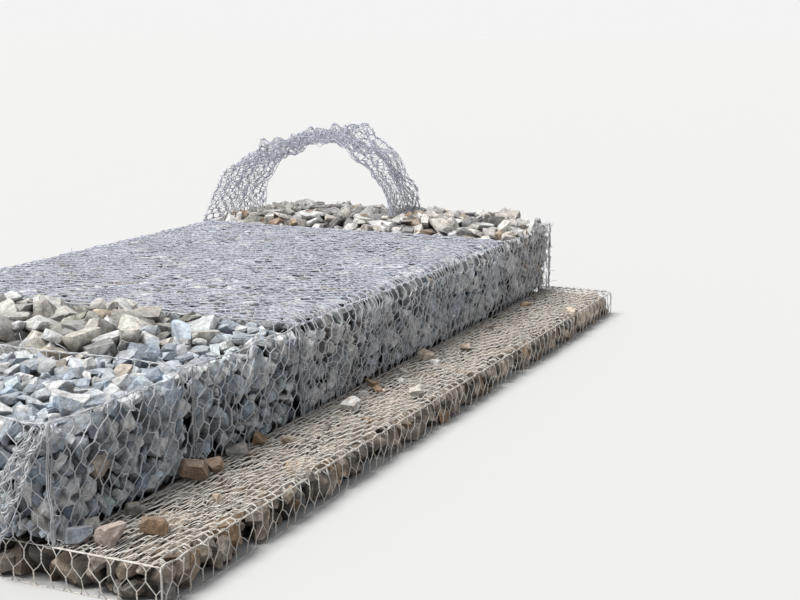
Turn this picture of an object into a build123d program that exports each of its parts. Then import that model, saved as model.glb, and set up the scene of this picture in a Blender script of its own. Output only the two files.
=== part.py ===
from build123d import *
import os
from random import Random

# A low gabion wall of six bays that stands on an apron of mattress units.
# X runs along the wall, its face looks towards -Y, and Z is up. The origin is
# the centre of the underside. Sizes are in millimetres.
os.makedirs("parts", exist_ok=True)

# Driving dimensions of the wall, and how far the building of each bay has come
bay_states = ("low", "tipped", "lidded", "lidded", "lidded", "heaped")
bay_length = 1000
wall_depth = 2500
wall_height = 500

# Driving dimensions of the apron
unit_count = 3
apron_height = 170
toe_ledge = 500

# Netting of coated wire, and the size of its openings before they are fitted
# to a whole number in a bay
net = 4
mesh_width = 100
mesh_height = 80
twist_length = 40
twist_width = 6
selvedge_width = 6
lacing_width = 12
lacing_reach = lacing_width / 3**0.5  # from its middle to a corner of its six sides

# Stone filling of an open bay: how far its edges stay below the rim, how far
# its crown lies above the edges, and how far the crown stays from the nets at
# the bay lines, at the front and at the back
open_fills = {
    "low": {"below_rim": 70, "crown": 80, "sides": 215, "front": 380, "back": 220},
    "tipped": {"below_rim": 80, "crown": 130, "sides": 200, "front": 820, "back": 180},
    "heaped": {"below_rim": 30, "crown": 120, "sides": 190, "front": 340, "back": 460},
}

# The largest stones, which stand out of the filling where it lies open and
# behind the front nets: their length, width and height, how far apart they
# lie, how far the finer stones stay behind the net, how far a large stone
# leans and turns in degrees and strays from its row, and the room left for
# the ends of a lid that is pushed up
stone_length = 230
stone_width = 165
stone_height = 140
stone_spacing = 300
stone_setback = 60
stone_lean = 22
front_stone_turn = 20
top_stone_turn = 180
stone_stray = 22
arch_clearance = 190

# Where the narrow side of a large stone starts and ends, as shares of its
# length and of its width that are drawn between two limits
narrow_start = (0.05, 0.3)
narrow_end = (0.65, 0.9)

# Lid net of the heaped bay, hinged at the back rim and pushed up into an arch:
# its crest above the rim and in front of the hinge, its foot behind the
# crown's front edge and in from the crown's sides, and its set-in at the hinge
arch_rise = 700
arch_lean = 900
foot_setback = 660
foot_inset = 25
hinge_inset = 20

# Places worked out from the driving dimensions
bay_count = len(bay_states)
wall_length = bay_count * bay_length
unit_length = wall_length / unit_count
near_end = -wall_length / 2
apron_depth = toe_ledge + wall_depth
apron_front = -apron_depth / 2
wall_front = apron_front + toe_ledge
wall_back = wall_front + wall_depth
wall_base = apron_height
rim = wall_base + wall_height
bays = range(1, bay_count + 1)
lidded_bays = [bay for bay in bays if bay_states[bay - 1] == "lidded"]
heaped_bays = [bay for bay in bays if bay_states[bay - 1] == "heaped"]


def block(x, y, z):
    """A block that spans the low and high value given for each axis."""
    spans = (x, y, z)
    middle = [(low + high) / 2 for low, high in spans]
    size = [high - low for low, high in spans]
    return Pos(*middle) * Box(*size)


def bay_span(bay):
    """Where a bay starts and ends along the wall."""
    start = near_end + (bay - 1) * bay_length
    return start, start + bay_length


def top_of_nets(*neighbours):
    """Top edge of an upright net, which stops under a lid beside it."""
    covered = any(bay in lidded_bays for bay in neighbours)
    return rim - net if covered else rim


# Nets that stand upright


def mesh_cell(pitch, rise):
    """One hexagonal opening between two twists, clear of the wires round it."""
    half_pitch = pitch / 2
    slant = rise - twist_length
    wire_height = net / 2 * (half_pitch**2 + slant**2) ** 0.5 / half_pitch
    side = half_pitch - twist_width / 2
    apex = rise - twist_length / 2 - wire_height
    corner = apex - slant * side / half_pitch
    return Polygon(
        (0, apex), (-side, corner), (-side, -corner),
        (0, -apex), (side, -corner), (side, corner),
    )


def front_net(bay):
    """Hexagonal netting of one bay's face, with a selvedge strip round it."""
    low, high = bay_span(bay)
    height = top_of_nets(bay) - wall_base
    columns = round(bay_length / mesh_width)
    rows = round(height / mesh_height)
    pitch = bay_length / columns
    rise = height / rows
    cell = mesh_cell(pitch, rise)
    cells = []
    for row in range(rows):
        up = (row - (rows - 1) / 2) * rise
        in_row = GridLocations(pitch, rise, columns + row % 2, 1)
        cells += [Pos(0, up) * place * cell for place in in_row]
    inside = Rectangle(bay_length - 2 * selvedge_width, height - 2 * selvedge_width)
    openings = (Sketch() + cells) & inside
    panel = Rectangle(bay_length, height) - openings
    face_plane = Plane(
        origin=((low + high) / 2, wall_front + net, wall_base + height / 2),
        x_dir=(1, 0, 0),
        z_dir=(0, -1, 0),
    )
    return extrude(face_plane * panel, amount=net)


def back_net(bay):
    """Back net of one bay."""
    return block(bay_span(bay), (wall_back - net, wall_back), (wall_base, top_of_nets(bay)))


def cross_net(start, *neighbours):
    """Net across the wall, as a partition between bays or as an end."""
    return block(
        (start, start + net),
        (wall_front + net, wall_back - net),
        (wall_base, top_of_nets(*neighbours)),
    )


def lid_net(bay):
    """Lid of one bay, its front edge rounded over like the wire that ends it."""
    lid = block(bay_span(bay), (wall_front, wall_back), (rim - net, rim))
    front_edge = lid.edges().filter_by(Axis.X).group_by(Axis.Z)[-1].sort_by(Axis.Y)[0]
    return chamfer(front_edge, net / 2)


def corner_lacing(place, *neighbours):
    """Bundle of selvedge and lacing wires on the face at a bay line."""
    height = top_of_nets(*neighbours) - wall_base
    outline = RegularPolygon(lacing_width / 2, 6, major_radius=False)
    bundle = extrude(outline, amount=height)
    return Pos(place, wall_front - lacing_width / 2, wall_base) * bundle


# Stone filling


def fill_span(bay):
    """Clear length of a bay between the nets that close it."""
    low, high = bay_span(bay)
    low += net if bay == 1 else net / 2
    high -= net if bay == bay_count else net / 2
    return low, high


def fill_room(bay):
    """Where the finer stones of a bay lie along X and along Y."""
    return fill_span(bay), (wall_front + net + stone_setback, wall_back - net)


def inside_nets(bay, top):
    """Clear room between the nets of a bay, up to a height."""
    return block(fill_span(bay), (wall_front + net, wall_back - net), (wall_base, top))


def spots(span):
    """Middles of the equal steps into which the large stones divide a span."""
    low, high = span
    count = round((high - low) / stone_spacing)
    step = (high - low) / count
    return [low + (number + 0.5) * step for number in range(count)]


def large_stone(chance, x, y, z, facing, turn):
    """A broken stone, half sunk in the filling, its narrow side facing outwards."""
    form = Wedge(
        stone_length, stone_height, stone_width,
        stone_length * chance.uniform(*narrow_start), stone_width * chance.uniform(*narrow_start),
        stone_length * chance.uniform(*narrow_end), stone_width * chance.uniform(*narrow_end),
    )
    lean = chance.uniform(-stone_lean, stone_lean)
    tilt = chance.uniform(-stone_lean, stone_lean)
    spin = chance.uniform(-turn, turn)
    return Pos(x, y, z) * facing * Rotation(lean, 0, tilt) * Rotation(0, spin, 0) * form


def front_stones(bay):
    """Large stones of a bay that rest against its front net."""
    chance = Random(bay)
    along, across = fill_room(bay)
    to_front = Rotation(180, 0, 0)
    stones = []
    for z in spots((wall_base, rim)):
        for x in spots(along):
            x += chance.uniform(-stone_stray, stone_stray)
            stones.append(large_stone(chance, x, across[0], z, to_front, front_stone_turn))
    return stones


def covered_fill(bay):
    """Stones of a lidded bay, which fill its basket up to the lid."""
    body = block(*fill_room(bay), (wall_base, rim - net))
    return (body + front_stones(bay)) & inside_nets(bay, rim - net)


def crown_spans(bay, form):
    """Where the crown of an open bay's stones lies along X and along Y."""
    low, high = fill_span(bay)
    along = (low + form["sides"], high - form["sides"])
    across = (wall_front + net + form["front"], wall_back - net - form["back"])
    return along, across


def heap_height(bay, form, x, y):
    """Height of the finer stones of an open bay over a place."""
    shares = [1]
    for value, room, crown in zip((x, y), fill_room(bay), crown_spans(bay, form)):
        shares.append((value - room[0]) / (crown[0] - room[0]))
        shares.append((room[1] - value) / (room[1] - crown[1]))
    return rim - form["below_rim"] + form["crown"] * min(shares)


def heap_body(bay, form):
    """Finer stones of an open bay above their edges, narrower towards the crown."""
    (low_x, high_x), (low_y, high_y) = fill_room(bay)
    along, across = crown_spans(bay, form)
    heap = Wedge(
        high_x - low_x, form["crown"], high_y - low_y,
        along[0] - low_x, high_y - across[1], along[1] - low_x, high_y - across[0],
        align=(Align.MIN, Align.MIN, Align.MIN),
    )
    return Pos(low_x, high_y, rim - form["below_rim"]) * Rotation(90, 0, 0) * heap


def arch_foot(bay, form):
    """Where the lid net that is pushed up over a heaped bay meets its stones."""
    return crown_spans(bay, form)[1][0] + foot_setback


def top_stones(bay, form):
    """Large stones on top of an open bay, none of them where a lid's arch ends."""
    chance = Random(bay + bay_count)
    along, across = fill_room(bay)
    arch_ends = (arch_foot(bay, form), wall_back) if bay in heaped_bays else ()
    to_top = Rotation(90, 0, 0)
    stones = []
    for y in spots(across):
        if any(abs(y - end) < arch_clearance for end in arch_ends):
            continue
        for x in spots(along):
            x += chance.uniform(-stone_stray, stone_stray)
            z = heap_height(bay, form, x, y)
            stones.append(large_stone(chance, x, y, z, to_top, top_stone_turn))
    return stones


def open_fill(bay):
    """Stones of an open bay, highest at a crown and lower along the nets."""
    form = open_fills[bay_states[bay - 1]]
    edge_height = rim - form["below_rim"]
    body = block(*fill_room(bay), (wall_base, edge_height))
    stones = front_stones(bay) + top_stones(bay, form)
    top = edge_height + form["crown"] + stone_length
    return (body + heap_body(bay, form) + stones) & inside_nets(bay, top)


# Lid net that is thrown back and pushed up


def quarter_band(run, rise, base):
    """Upper right quarter of an elliptic ring, the wire's thickness wide."""
    ring = Ellipse(run, rise) - Ellipse(run - net, rise - net)
    corner = Pos(run / 2, rise / 2) * Rectangle(run, rise)
    return Pos(0, base) * (ring & corner)


def arched_lid(bay):
    """Lid net that arches from the hinge at the back rim to a foot on the crown."""
    form = open_fills[bay_states[bay - 1]]
    along, _ = crown_spans(bay, form)
    crown_top = rim - form["below_rim"] + form["crown"]
    crest = wall_back - arch_lean
    foot = arch_foot(bay, form)
    top = rim + arch_rise
    rear = quarter_band(wall_back - crest, top - rim, rim)
    fore = quarter_band(crest - foot, top - crown_top, crown_top)
    profile = rear + mirror(fore, about=Plane.YZ)
    side_plane = Plane(origin=(0, crest, 0), x_dir=(0, 1, 0), z_dir=(1, 0, 0))
    low, high = bay_span(bay)
    sheet = extrude(side_plane.offset(low) * profile, amount=high - low)
    outline = Polygon(
        (low + hinge_inset, wall_back), (along[0] + foot_inset, foot),
        (along[1] - foot_inset, foot), (high - hinge_inset, wall_back),
        align=None,
    )
    return sheet & extrude(outline, amount=top)


# Apron of mattress units


def unit_span(unit):
    """Where a mattress unit starts and ends along the wall."""
    start = near_end + (unit - 1) * unit_length
    return start, start + unit_length


def apron_basket(unit):
    """Open basket of a mattress unit: base net and four side nets."""
    low, high = unit_span(unit)
    front, back = apron_front, -apron_front
    outside = block((low, high), (front, back), (0, apron_height - net))
    inside = block(
        (low + net, high - net), (front + net, back - net), (net, apron_height - net)
    )
    return outside - inside


def apron_fill(unit):
    """Stones of a mattress unit."""
    low, high = unit_span(unit)
    front, back = apron_front, -apron_front
    return block(
        (low + net, high - net), (front + net, back - net), (net, apron_height - net)
    )


def apron_lid(unit):
    """Lid net of a mattress unit."""
    return block(
        unit_span(unit), (apron_front, -apron_front), (apron_height - net, apron_height)
    )


# The whole wall, one named sub-part after the other
pieces = {}
for unit in range(1, unit_count + 1):
    pieces[f"apron_basket_{unit}"] = apron_basket(unit)
    pieces[f"apron_stone_fill_{unit}"] = apron_fill(unit)
    pieces[f"apron_lid_net_{unit}"] = apron_lid(unit)

for bay in bays:
    pieces[f"front_net_bay_{bay}"] = front_net(bay)
    pieces[f"back_net_bay_{bay}"] = back_net(bay)
    if bay in lidded_bays:
        pieces[f"stone_fill_bay_{bay}"] = covered_fill(bay)
        pieces[f"lid_net_bay_{bay}"] = lid_net(bay)
    else:
        pieces[f"stone_fill_bay_{bay}"] = open_fill(bay)
    if bay in heaped_bays:
        pieces[f"lid_net_bay_{bay}"] = arched_lid(bay)

for bay in bays[:-1]:
    bay_line = bay_span(bay)[1]
    pieces[f"partition_net_{bay}"] = cross_net(bay_line - net / 2, bay, bay + 1)
pieces["end_net_near"] = cross_net(near_end, 1)
pieces["end_net_far"] = cross_net(-near_end - net, bay_count)

for line in range(bay_count + 1):
    place = near_end + line * bay_length
    if line == 0:
        place += lacing_reach
    elif line == bay_count:
        place -= lacing_reach
    pieces[f"corner_lacing_{line + 1}"] = corner_lacing(place, line, line + 1)

for name, piece in pieces.items():
    export_step(piece, f"parts/{name}.step")
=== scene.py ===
"""Looks of a low gabion wall: woven wire baskets filled with broken stone, on a mattress apron.

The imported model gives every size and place. The stones, the woven nets, their edge wires and
lacing are modelled here, each in the room of the solid that it stands for.
"""

import itertools
import logging
import math
from dataclasses import dataclass, field, replace
from enum import Enum
from functools import partial
from typing import Callable, Iterable, Sequence

import bmesh
import bpy
import numpy as np
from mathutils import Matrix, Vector

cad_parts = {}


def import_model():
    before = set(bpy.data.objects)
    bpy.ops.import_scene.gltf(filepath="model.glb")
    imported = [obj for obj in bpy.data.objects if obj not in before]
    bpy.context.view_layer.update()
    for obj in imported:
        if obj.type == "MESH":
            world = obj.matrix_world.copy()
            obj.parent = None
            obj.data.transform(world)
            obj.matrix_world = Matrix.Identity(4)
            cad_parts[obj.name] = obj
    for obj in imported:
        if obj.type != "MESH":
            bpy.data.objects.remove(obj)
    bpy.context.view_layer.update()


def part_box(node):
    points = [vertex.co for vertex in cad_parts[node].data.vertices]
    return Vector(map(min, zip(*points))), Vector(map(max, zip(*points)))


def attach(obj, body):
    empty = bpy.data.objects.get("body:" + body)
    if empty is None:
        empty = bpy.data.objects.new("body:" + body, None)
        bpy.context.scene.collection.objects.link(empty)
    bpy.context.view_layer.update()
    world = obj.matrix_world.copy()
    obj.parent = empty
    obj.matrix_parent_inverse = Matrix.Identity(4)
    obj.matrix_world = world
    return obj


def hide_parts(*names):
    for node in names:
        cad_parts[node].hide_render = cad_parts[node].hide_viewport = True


Array = np.ndarray
Colour = tuple[float, float, float]
Surface = Callable[[Array], Array]
Level = Callable[[Array, Array], Array]
Draw = Callable[[Array, Array, Array], Array]
Mix = Callable[[np.random.Generator, Array], Array]

log = logging.getLogger("gabion_wall")

BODY = "root"
TINY = 1e-6
LACE_RADIUS = 0.0016
LACE_SIDES = 4


class BayState(Enum):
    """How far the building of a bay has come."""

    LOW = "low"
    TIPPED = "tipped"
    LIDDED = "lidded"
    HEAPED = "heaped"


class Side(Enum):
    """The side that a net faces, with the outward direction along its axis."""

    FRONT = -1
    BACK = 1


def linear(red: int, green: int, blue: int) -> Colour:
    """Linear colour, 0 to 1, of a colour as seen on a screen, 0 to 255."""
    shares = (value / 255 for value in (red, green, blue))
    return tuple(s / 12.92 if s <= 0.04045 else ((s + 0.055) / 1.055) ** 2.4 for s in shares)


def linear_set(*colours: tuple[int, int, int]) -> tuple[Colour, ...]:
    """Several colours as the shader wants them."""
    return tuple(linear(*colour) for colour in colours)


def window(share: Array, softness: float = 0.8) -> Array:
    """A swell over a span, nothing at its ends and one in its middle; softness below one steepens it."""
    return np.sin(np.pi * np.clip(share, 0, 1)) ** softness


@dataclass(frozen=True)
class Ripple:
    """Smooth random waves through space, the same in every run.

    Attributes:
        seed: picks the waves.
        wavelength: typical distance between crests, in metres.
        waves: how many waves are added up.
    """

    seed: int
    wavelength: float
    waves: int = 9

    def at(self, points: Array) -> Array:
        """Height of the waves.

        Args:
            points: places, one row each.

        Returns:
            One value per place, mostly between -1 and 1.
        """
        rng = np.random.default_rng(self.seed)
        heading = rng.normal(size=(self.waves, points.shape[-1]))
        heading /= np.linalg.norm(heading, axis=1, keepdims=True)
        length = self.wavelength * rng.uniform(0.7, 1.6, (self.waves, 1))
        phase = rng.uniform(0, 2 * np.pi, self.waves)
        waves = np.cos(points @ (heading * 2 * np.pi / length).T + phase)
        return waves.sum(-1) / math.sqrt(2 * self.waves)


# Meshes


def split(quads: Array) -> Array:
    """Four-sided faces as twice as many triangles."""
    return np.concatenate([quads[:, [0, 1, 2]], quads[:, [0, 2, 3]]])


@dataclass
class Skin:
    """Points and triangles of a mesh while it is put together.

    Attributes:
        points: one row of three coordinates per vertex.
        faces: one row of three vertex numbers per triangle.
    """

    points: Array
    faces: Array

    @staticmethod
    def joined(parts: Sequence["Skin"]) -> "Skin":
        """Several skins as a single skin.

        Args:
            parts: the skins.

        Returns:
            One skin of all their points and triangles.
        """
        starts = np.cumsum([0] + [len(part.points) for part in parts])
        points, faces = zip(*((part.points, part.faces + start) for part, start in zip(parts, starts)))
        return Skin(np.concatenate(points), np.concatenate(faces))

    def mesh(self, name: str, smooth: bool) -> bpy.types.Mesh:
        """The skin as a mesh.

        Args:
            name: name of the mesh.
            smooth: whether the faces are shaded as one round surface.

        Returns:
            The new mesh.
        """
        mesh = bpy.data.meshes.new(name)
        count = len(self.faces)
        mesh.vertices.add(len(self.points))
        mesh.vertices.foreach_set("co", self.points.astype(np.float32).ravel())
        mesh.loops.add(count * 3)
        mesh.loops.foreach_set("vertex_index", self.faces.astype(np.int32).ravel())
        mesh.polygons.add(count)
        mesh.polygons.foreach_set("loop_start", np.arange(count, dtype=np.int32) * 3)
        mesh.polygons.foreach_set("use_smooth", np.full(count, smooth))
        mesh.update(calc_edges=True)
        mesh.validate()
        return mesh


def tube(path: Array, heading: Array, radius: float, sides: int, reference: Array) -> tuple[Array, Array]:
    """Rings round a path and the triangles between them.

    Args:
        path: points of the middle line.
        heading: direction of the line at each point.
        radius: radius of the rings.
        sides: number of points in a ring.
        reference: a direction across the line at each point.

    Returns:
        The points, ring after ring, and the triangles.
    """
    upward = np.cross(heading, reference)
    angle = (np.arange(sides) + 0.5) * 2 * np.pi / sides
    ring = np.cos(angle)[None, :, None] * reference[:, None] + np.sin(angle)[None, :, None] * upward[:, None]
    points = (path[:, None] + radius * ring).reshape(-1, 3)
    here = np.arange(len(path) - 1)[:, None] * sides
    this, following = np.arange(sides), (np.arange(sides) + 1) % sides
    quads = np.stack([here + this, here + following, here + sides + following, here + sides + this], -1)
    return points, split(quads.reshape(-1, 4))


def swept(path: Array, radius: float, sides: int = 6) -> Skin:
    """A closed round wire along a path.

    Args:
        path: points of its middle line.
        radius: radius of the wire.
        sides: number of faces round it.

    Returns:
        The wire's skin.
    """
    heading = np.gradient(path, axis=0)
    heading /= np.linalg.norm(heading, axis=1, keepdims=True)
    across = np.empty_like(path)
    start = np.cross(heading[0], (0.13, 0.21, 0.97))
    if np.linalg.norm(start) < 0.2:
        start = np.cross(heading[0], (0.97, 0.13, 0.21))
    across[0] = start / np.linalg.norm(start)
    for index in range(1, len(path)):
        turned_on = across[index - 1] - heading[index] * np.dot(across[index - 1], heading[index])
        across[index] = turned_on / np.linalg.norm(turned_on)
    points, faces = tube(path, heading, radius, sides, across)
    last = (len(path) - 1) * sides
    first_cap = [[0, k + 1, k] for k in range(1, sides - 1)]
    last_cap = [[last, last + k, last + k + 1] for k in range(1, sides - 1)]
    return Skin(points, np.concatenate([faces, np.array(first_cap + last_cap)]))


def coil(path: Array, normal: Sequence[float], radius: float, step: float, seed: int) -> Array:
    """Path of a lacing wire that winds round an edge.

    Args:
        path: points along the edge, evenly spaced.
        normal: outward direction of the net beside it.
        radius: how far the wire runs from the edge's middle.
        step: distance from one turn to the next.
        seed: picks how much each turn strays.

    Returns:
        Points of the winding wire.
    """
    length = np.linalg.norm(np.diff(path, axis=0), axis=1)
    along = np.concatenate([[0], np.cumsum(length)])
    points_per_turn, fewest = 9, 12
    count = max(int(along[-1] / step * points_per_turn), fewest)
    place = np.linspace(0, along[-1], count)
    line = np.stack([np.interp(place, along, path[:, axis]) for axis in range(3)], -1)
    heading = np.gradient(line, axis=0)
    heading /= np.linalg.norm(heading, axis=1, keepdims=True)
    outward = np.broadcast_to(np.asarray(normal, float), line.shape)
    sideways = np.cross(heading, outward)
    sideways /= np.linalg.norm(sideways, axis=1, keepdims=True)
    outward = np.cross(sideways, heading)
    stray = Ripple(seed, 0.3).at(place[:, None])
    turn = 2 * np.pi * place / step + 1.1 * stray
    reach = radius * (1 + 0.25 * Ripple(seed + 1, 0.17).at(place[:, None]))
    return line + reach[:, None] * (np.cos(turn)[:, None] * outward + np.sin(turn)[:, None] * sideways)


def lace(path: Array, normal: Sequence[float], radius: float, step: float, seed: int) -> Skin:
    """A thin lacing wire that winds round an edge, with the sizes that a coil takes."""
    return swept(coil(path, normal, radius, step, seed), LACE_RADIUS, LACE_SIDES)


# Finishes


SMOOTH = {"interpolation_type": "SMOOTHSTEP"}


class Shader:
    """The nodes of a material or of the world, added one after the other."""

    def __init__(self, owner: bpy.types.Material | bpy.types.World) -> None:
        """Takes up the nodes that every new material or world has.

        Args:
            owner: what the nodes belong to.
        """
        owner.use_nodes = True
        self.owner, self.tree = owner, owner.node_tree
        self.surface = next(n for n in self.tree.nodes if n.type in ("BSDF_PRINCIPLED", "BACKGROUND"))

    def node(self, kind: str, settings: dict | None = None, *places: object, **inputs: object) -> bpy.types.Node:
        """Adds a node.

        Args:
            kind: type of the node.
            settings: its properties.
            places: its first sockets in order, each a value or another socket.
            inputs: further ones by name, with _ for a space.

        Returns:
            The node.
        """
        node = self.tree.nodes.new(kind)
        for name, value in (settings or {}).items():
            setattr(node, name, value)
        named = {name.replace("_", " "): value for name, value in inputs.items()}
        for name, value in (dict(enumerate(places)) | named).items():
            self.feed(node, name, value)
        return node

    def feed(self, node: bpy.types.Node, name: str | int, value: object) -> None:
        """Links a socket to another, or sets its value.

        Args:
            node: the node that has the socket.
            name: the socket's name or number.
            value: what goes into it, a value or another socket.
        """
        if isinstance(value, bpy.types.NodeSocket):
            self.tree.links.new(value, node.inputs[name])
        else:
            node.inputs[name].default_value = value

    def noise(self, place: object, scale: float, detail: float = 4, rough: float = 0.6) -> object:
        """Noise of a given fineness, per metre."""
        node = self.node("ShaderNodeTexNoise", Vector=place, Scale=scale, Detail=detail, Roughness=rough)
        return node.outputs["Fac"]

    def spread(self, value: object, low: float, high: float, to_low: float, to_high: float) -> object:
        """A value stretched from one range to another, and held inside it."""
        ends = {"From_Min": low, "From_Max": high, "To_Min": to_low, "To_Max": to_high}
        return self.node("ShaderNodeMapRange", SMOOTH, Value=value, **ends).outputs["Result"]

    def times(self, one: object, other: object) -> object:
        """Product of two values, each a number or a socket."""
        return self.node("ShaderNodeMath", {"operation": "MULTIPLY"}, one, other).outputs[0]

    def mixed(self, share: object, one: object, other: object) -> object:
        """Two colours mixed.

        Args:
            share: how much of the second shows, 0 to 1.
            one, other: the colours.

        Returns:
            The mixed colour.
        """
        node = self.node("ShaderNodeMix", {"data_type": "RGBA"}, share)
        one_at, other_at, mixed_at = 6, 7, 2
        for place, colour in ((one_at, one), (other_at, other)):
            self.feed(node, place, (*colour, 1) if isinstance(colour, tuple) else colour)
        return node.outputs[mixed_at]


@dataclass(frozen=True)
class StoneFinish:
    """Broken rock: each stone has its own shade, with grains, stains and stone dust.

    Attributes:
        name: name of the material.
        dust: colour of the fine dust on faces that look up.
        dust_cover: how much of such a face the dust hides, 0 to 1.
        stain: colour of soil and weathering in patches.
        stain_cover: how strong the patches are, 0 to 1.
    """

    name: str
    dust: Colour = linear(206, 205, 202)
    dust_cover: float = 0.4
    stain: Colour = linear(128, 108, 90)
    stain_cover: float = 0.25

    def material(self) -> bpy.types.Material:
        """Makes the material, or gives the one made before."""
        return bpy.data.materials.get(self.name) or self._make()

    def _make(self) -> bpy.types.Material:
        """Builds the nodes.

        Returns:
            The new material.
        """
        shader = Shader(bpy.data.materials.new(self.name))
        place = shader.node("ShaderNodeTexCoord").outputs["Object"]
        shade = shader.node("ShaderNodeAttribute", {"attribute_name": "shade"}).outputs["Color"]
        normal = shader.node("ShaderNodeNewGeometry").outputs["Normal"]
        upward = shader.node("ShaderNodeSeparateXYZ", None, normal).outputs["Z"]
        mottle = shader.spread(shader.noise(place, 30, 6, 0.62), 0.3, 0.7, 0.6, 1.3)
        grain = shader.spread(shader.noise(place, 380, 2), 0.3, 0.7, 0.72, 1.24)
        tone = shader.times(mottle, grain)
        tinted = shader.node("ShaderNodeVectorMath", {"operation": "SCALE"}, shade, Scale=tone)
        stained = shader.times(shader.spread(shader.noise(place, 7, 6, 0.65), 0.5, 0.68, 0, 1), self.stain_cover)
        rock = shader.mixed(stained, tinted.outputs[0], self.stain)
        looks_up = shader.spread(upward, 0.15, 0.95, 0, 1)
        powder = shader.spread(shader.noise(place, 34, 6, 0.7), 0.38, 0.68, 0.15, 1)
        dusty = shader.times(shader.times(looks_up, powder), self.dust_cover)
        shader.feed(shader.surface, "Base Color", shader.mixed(dusty, rock, self.dust))
        shader.feed(shader.surface, "Roughness", shader.spread(shader.noise(place, 60), 0.2, 0.8, 0.72, 0.98))
        shader.feed(shader.surface, "Specular IOR Level", 0.35)
        broken, pitted = shader.noise(place, 52, 6, 0.66), shader.noise(place, 260, 4, 0.7)
        chips = shader.node("ShaderNodeBump", Strength=1.0, Distance=0.015, Height=broken)
        pits = shader.node("ShaderNodeBump", Strength=0.6, Distance=0.0022, Height=pitted)
        shader.feed(pits, "Normal", chips.outputs[0])
        shader.feed(shader.surface, "Normal", pits.outputs[0])
        return shader.owner


@dataclass(frozen=True)
class WireFinish:
    """Plastic-coated wire, scuffed and dusted with rock flour.

    Attributes:
        name: name of the material.
        coat: colour of the coating.
        dust: colour of the dust on it.
        dust_cover: how much of it the dust hides, 0 to 1.
        scuff: brightness of scuffed coating, as a share of the whole one's.
    """

    name: str
    coat: Colour = linear(178, 180, 184)
    dust: Colour = linear(196, 190, 180)
    dust_cover: float = 0.5
    scuff: float = 0.72

    def material(self) -> bpy.types.Material:
        """Makes the material, or gives the one made before."""
        return bpy.data.materials.get(self.name) or self._make()

    def _make(self) -> bpy.types.Material:
        """Builds the nodes.

        Returns:
            The new material.
        """
        shader = Shader(bpy.data.materials.new(self.name))
        place = shader.node("ShaderNodeTexCoord").outputs["Object"]
        wear = shader.noise(place, 13, 5, 0.65)
        dull = tuple(self.scuff * value for value in self.coat)
        scuffed = shader.mixed(shader.spread(wear, 0.35, 0.7, 0, 1), self.coat, dull)
        cover = shader.times(shader.spread(shader.noise(place, 55, 5, 0.7), 0.42, 0.66, 0, 1), self.dust_cover)
        shader.feed(shader.surface, "Base Color", shader.mixed(cover, scuffed, self.dust))
        shader.feed(shader.surface, "Roughness", shader.spread(wear, 0.3, 0.7, 0.38, 0.7))
        bump = shader.node("ShaderNodeBump", Strength=0.3, Distance=0.0006, Height=shader.noise(place, 700, 3))
        shader.feed(shader.surface, "Normal", bump.outputs[0])
        return shader.owner


@dataclass(frozen=True)
class RockMix:
    """Which shades of rock a load of stone holds.

    Attributes:
        shades: colours of the stones.
        shares: how much of the load has each colour.
        stray: how far a stone's brightness strays from its colour.
        warmth: how far it strays between warm and cold.
        darkest, palest: limits of a colour's parts.
    """

    shades: tuple[Colour, ...]
    shares: tuple[float, ...]
    stray: float = 0.26
    warmth: float = 0.025
    darkest: float = 0.02
    palest: float = 0.9

    def pick(self, rng: np.random.Generator, count: int) -> Array:
        """Colours of some stones.

        Args:
            rng: random numbers.
            count: number of stones.

        Returns:
            One row per stone.
        """
        shares = np.array(self.shares) / sum(self.shares)
        picked = np.array(self.shades)[rng.choice(len(self.shades), count, p=shares)]
        bright = np.exp(rng.normal(0, self.stray, (count, 1)))
        warm = rng.normal(0, self.warmth, (count, 1)) * np.array([[1, 0.1, -1]])
        return np.clip(picked * bright * (1 + warm), self.darkest, self.palest)


BLUE_GREY = RockMix(
    linear_set((203, 213, 224), (221, 228, 235), (163, 175, 189), (240, 242, 244), (210, 198, 186)),
    (4, 3, 2.6, 1.6, 0.15),
)
PALE_DUSTY = RockMix(
    linear_set((238, 234, 226), (222, 218, 210), (245, 243, 238), (192, 190, 186), (222, 206, 186)),
    (4, 3, 2, 1.5, 0.7),
)
MIXED_GREY = RockMix(
    linear_set((190, 196, 202), (211, 214, 216), (154, 162, 170), (230, 230, 228), (194, 182, 170)),
    (3, 3, 2, 1.2, 0.12),
)
WARM_HEAP = RockMix(
    linear_set((220, 215, 208), (198, 194, 189), (232, 229, 224), (170, 169, 170), (182, 160, 138)),
    (4, 3, 2, 1.5, 0.8),
)
SOILED = RockMix(
    linear_set((172, 160, 148), (190, 174, 158), (140, 136, 132), (208, 192, 176), (164, 138, 112)),
    (3, 3, 2, 1, 1.2),
)
STONE = StoneFinish("broken_stone")
SOILED_STONE = StoneFinish("soiled_stone", dust=linear(186, 172, 158), dust_cover=0.5, stain_cover=0.5)
MESH_WIRE = WireFinish("coated_mesh_wire", coat=linear(224, 226, 231), dust=linear(210, 209, 208))
CLEAN_WIRE = WireFinish("clean_mesh_wire", coat=linear(212, 214, 228), dust=linear(206, 206, 214), dust_cover=0.3)
EDGE_WIRE = WireFinish("coated_edge_wire", coat=linear(178, 180, 184))
SOILED_WIRE = WireFinish(
    "soiled_mesh_wire", coat=linear(228, 224, 218), dust=linear(214, 202, 188), dust_cover=0.6
)


# Stones


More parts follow.
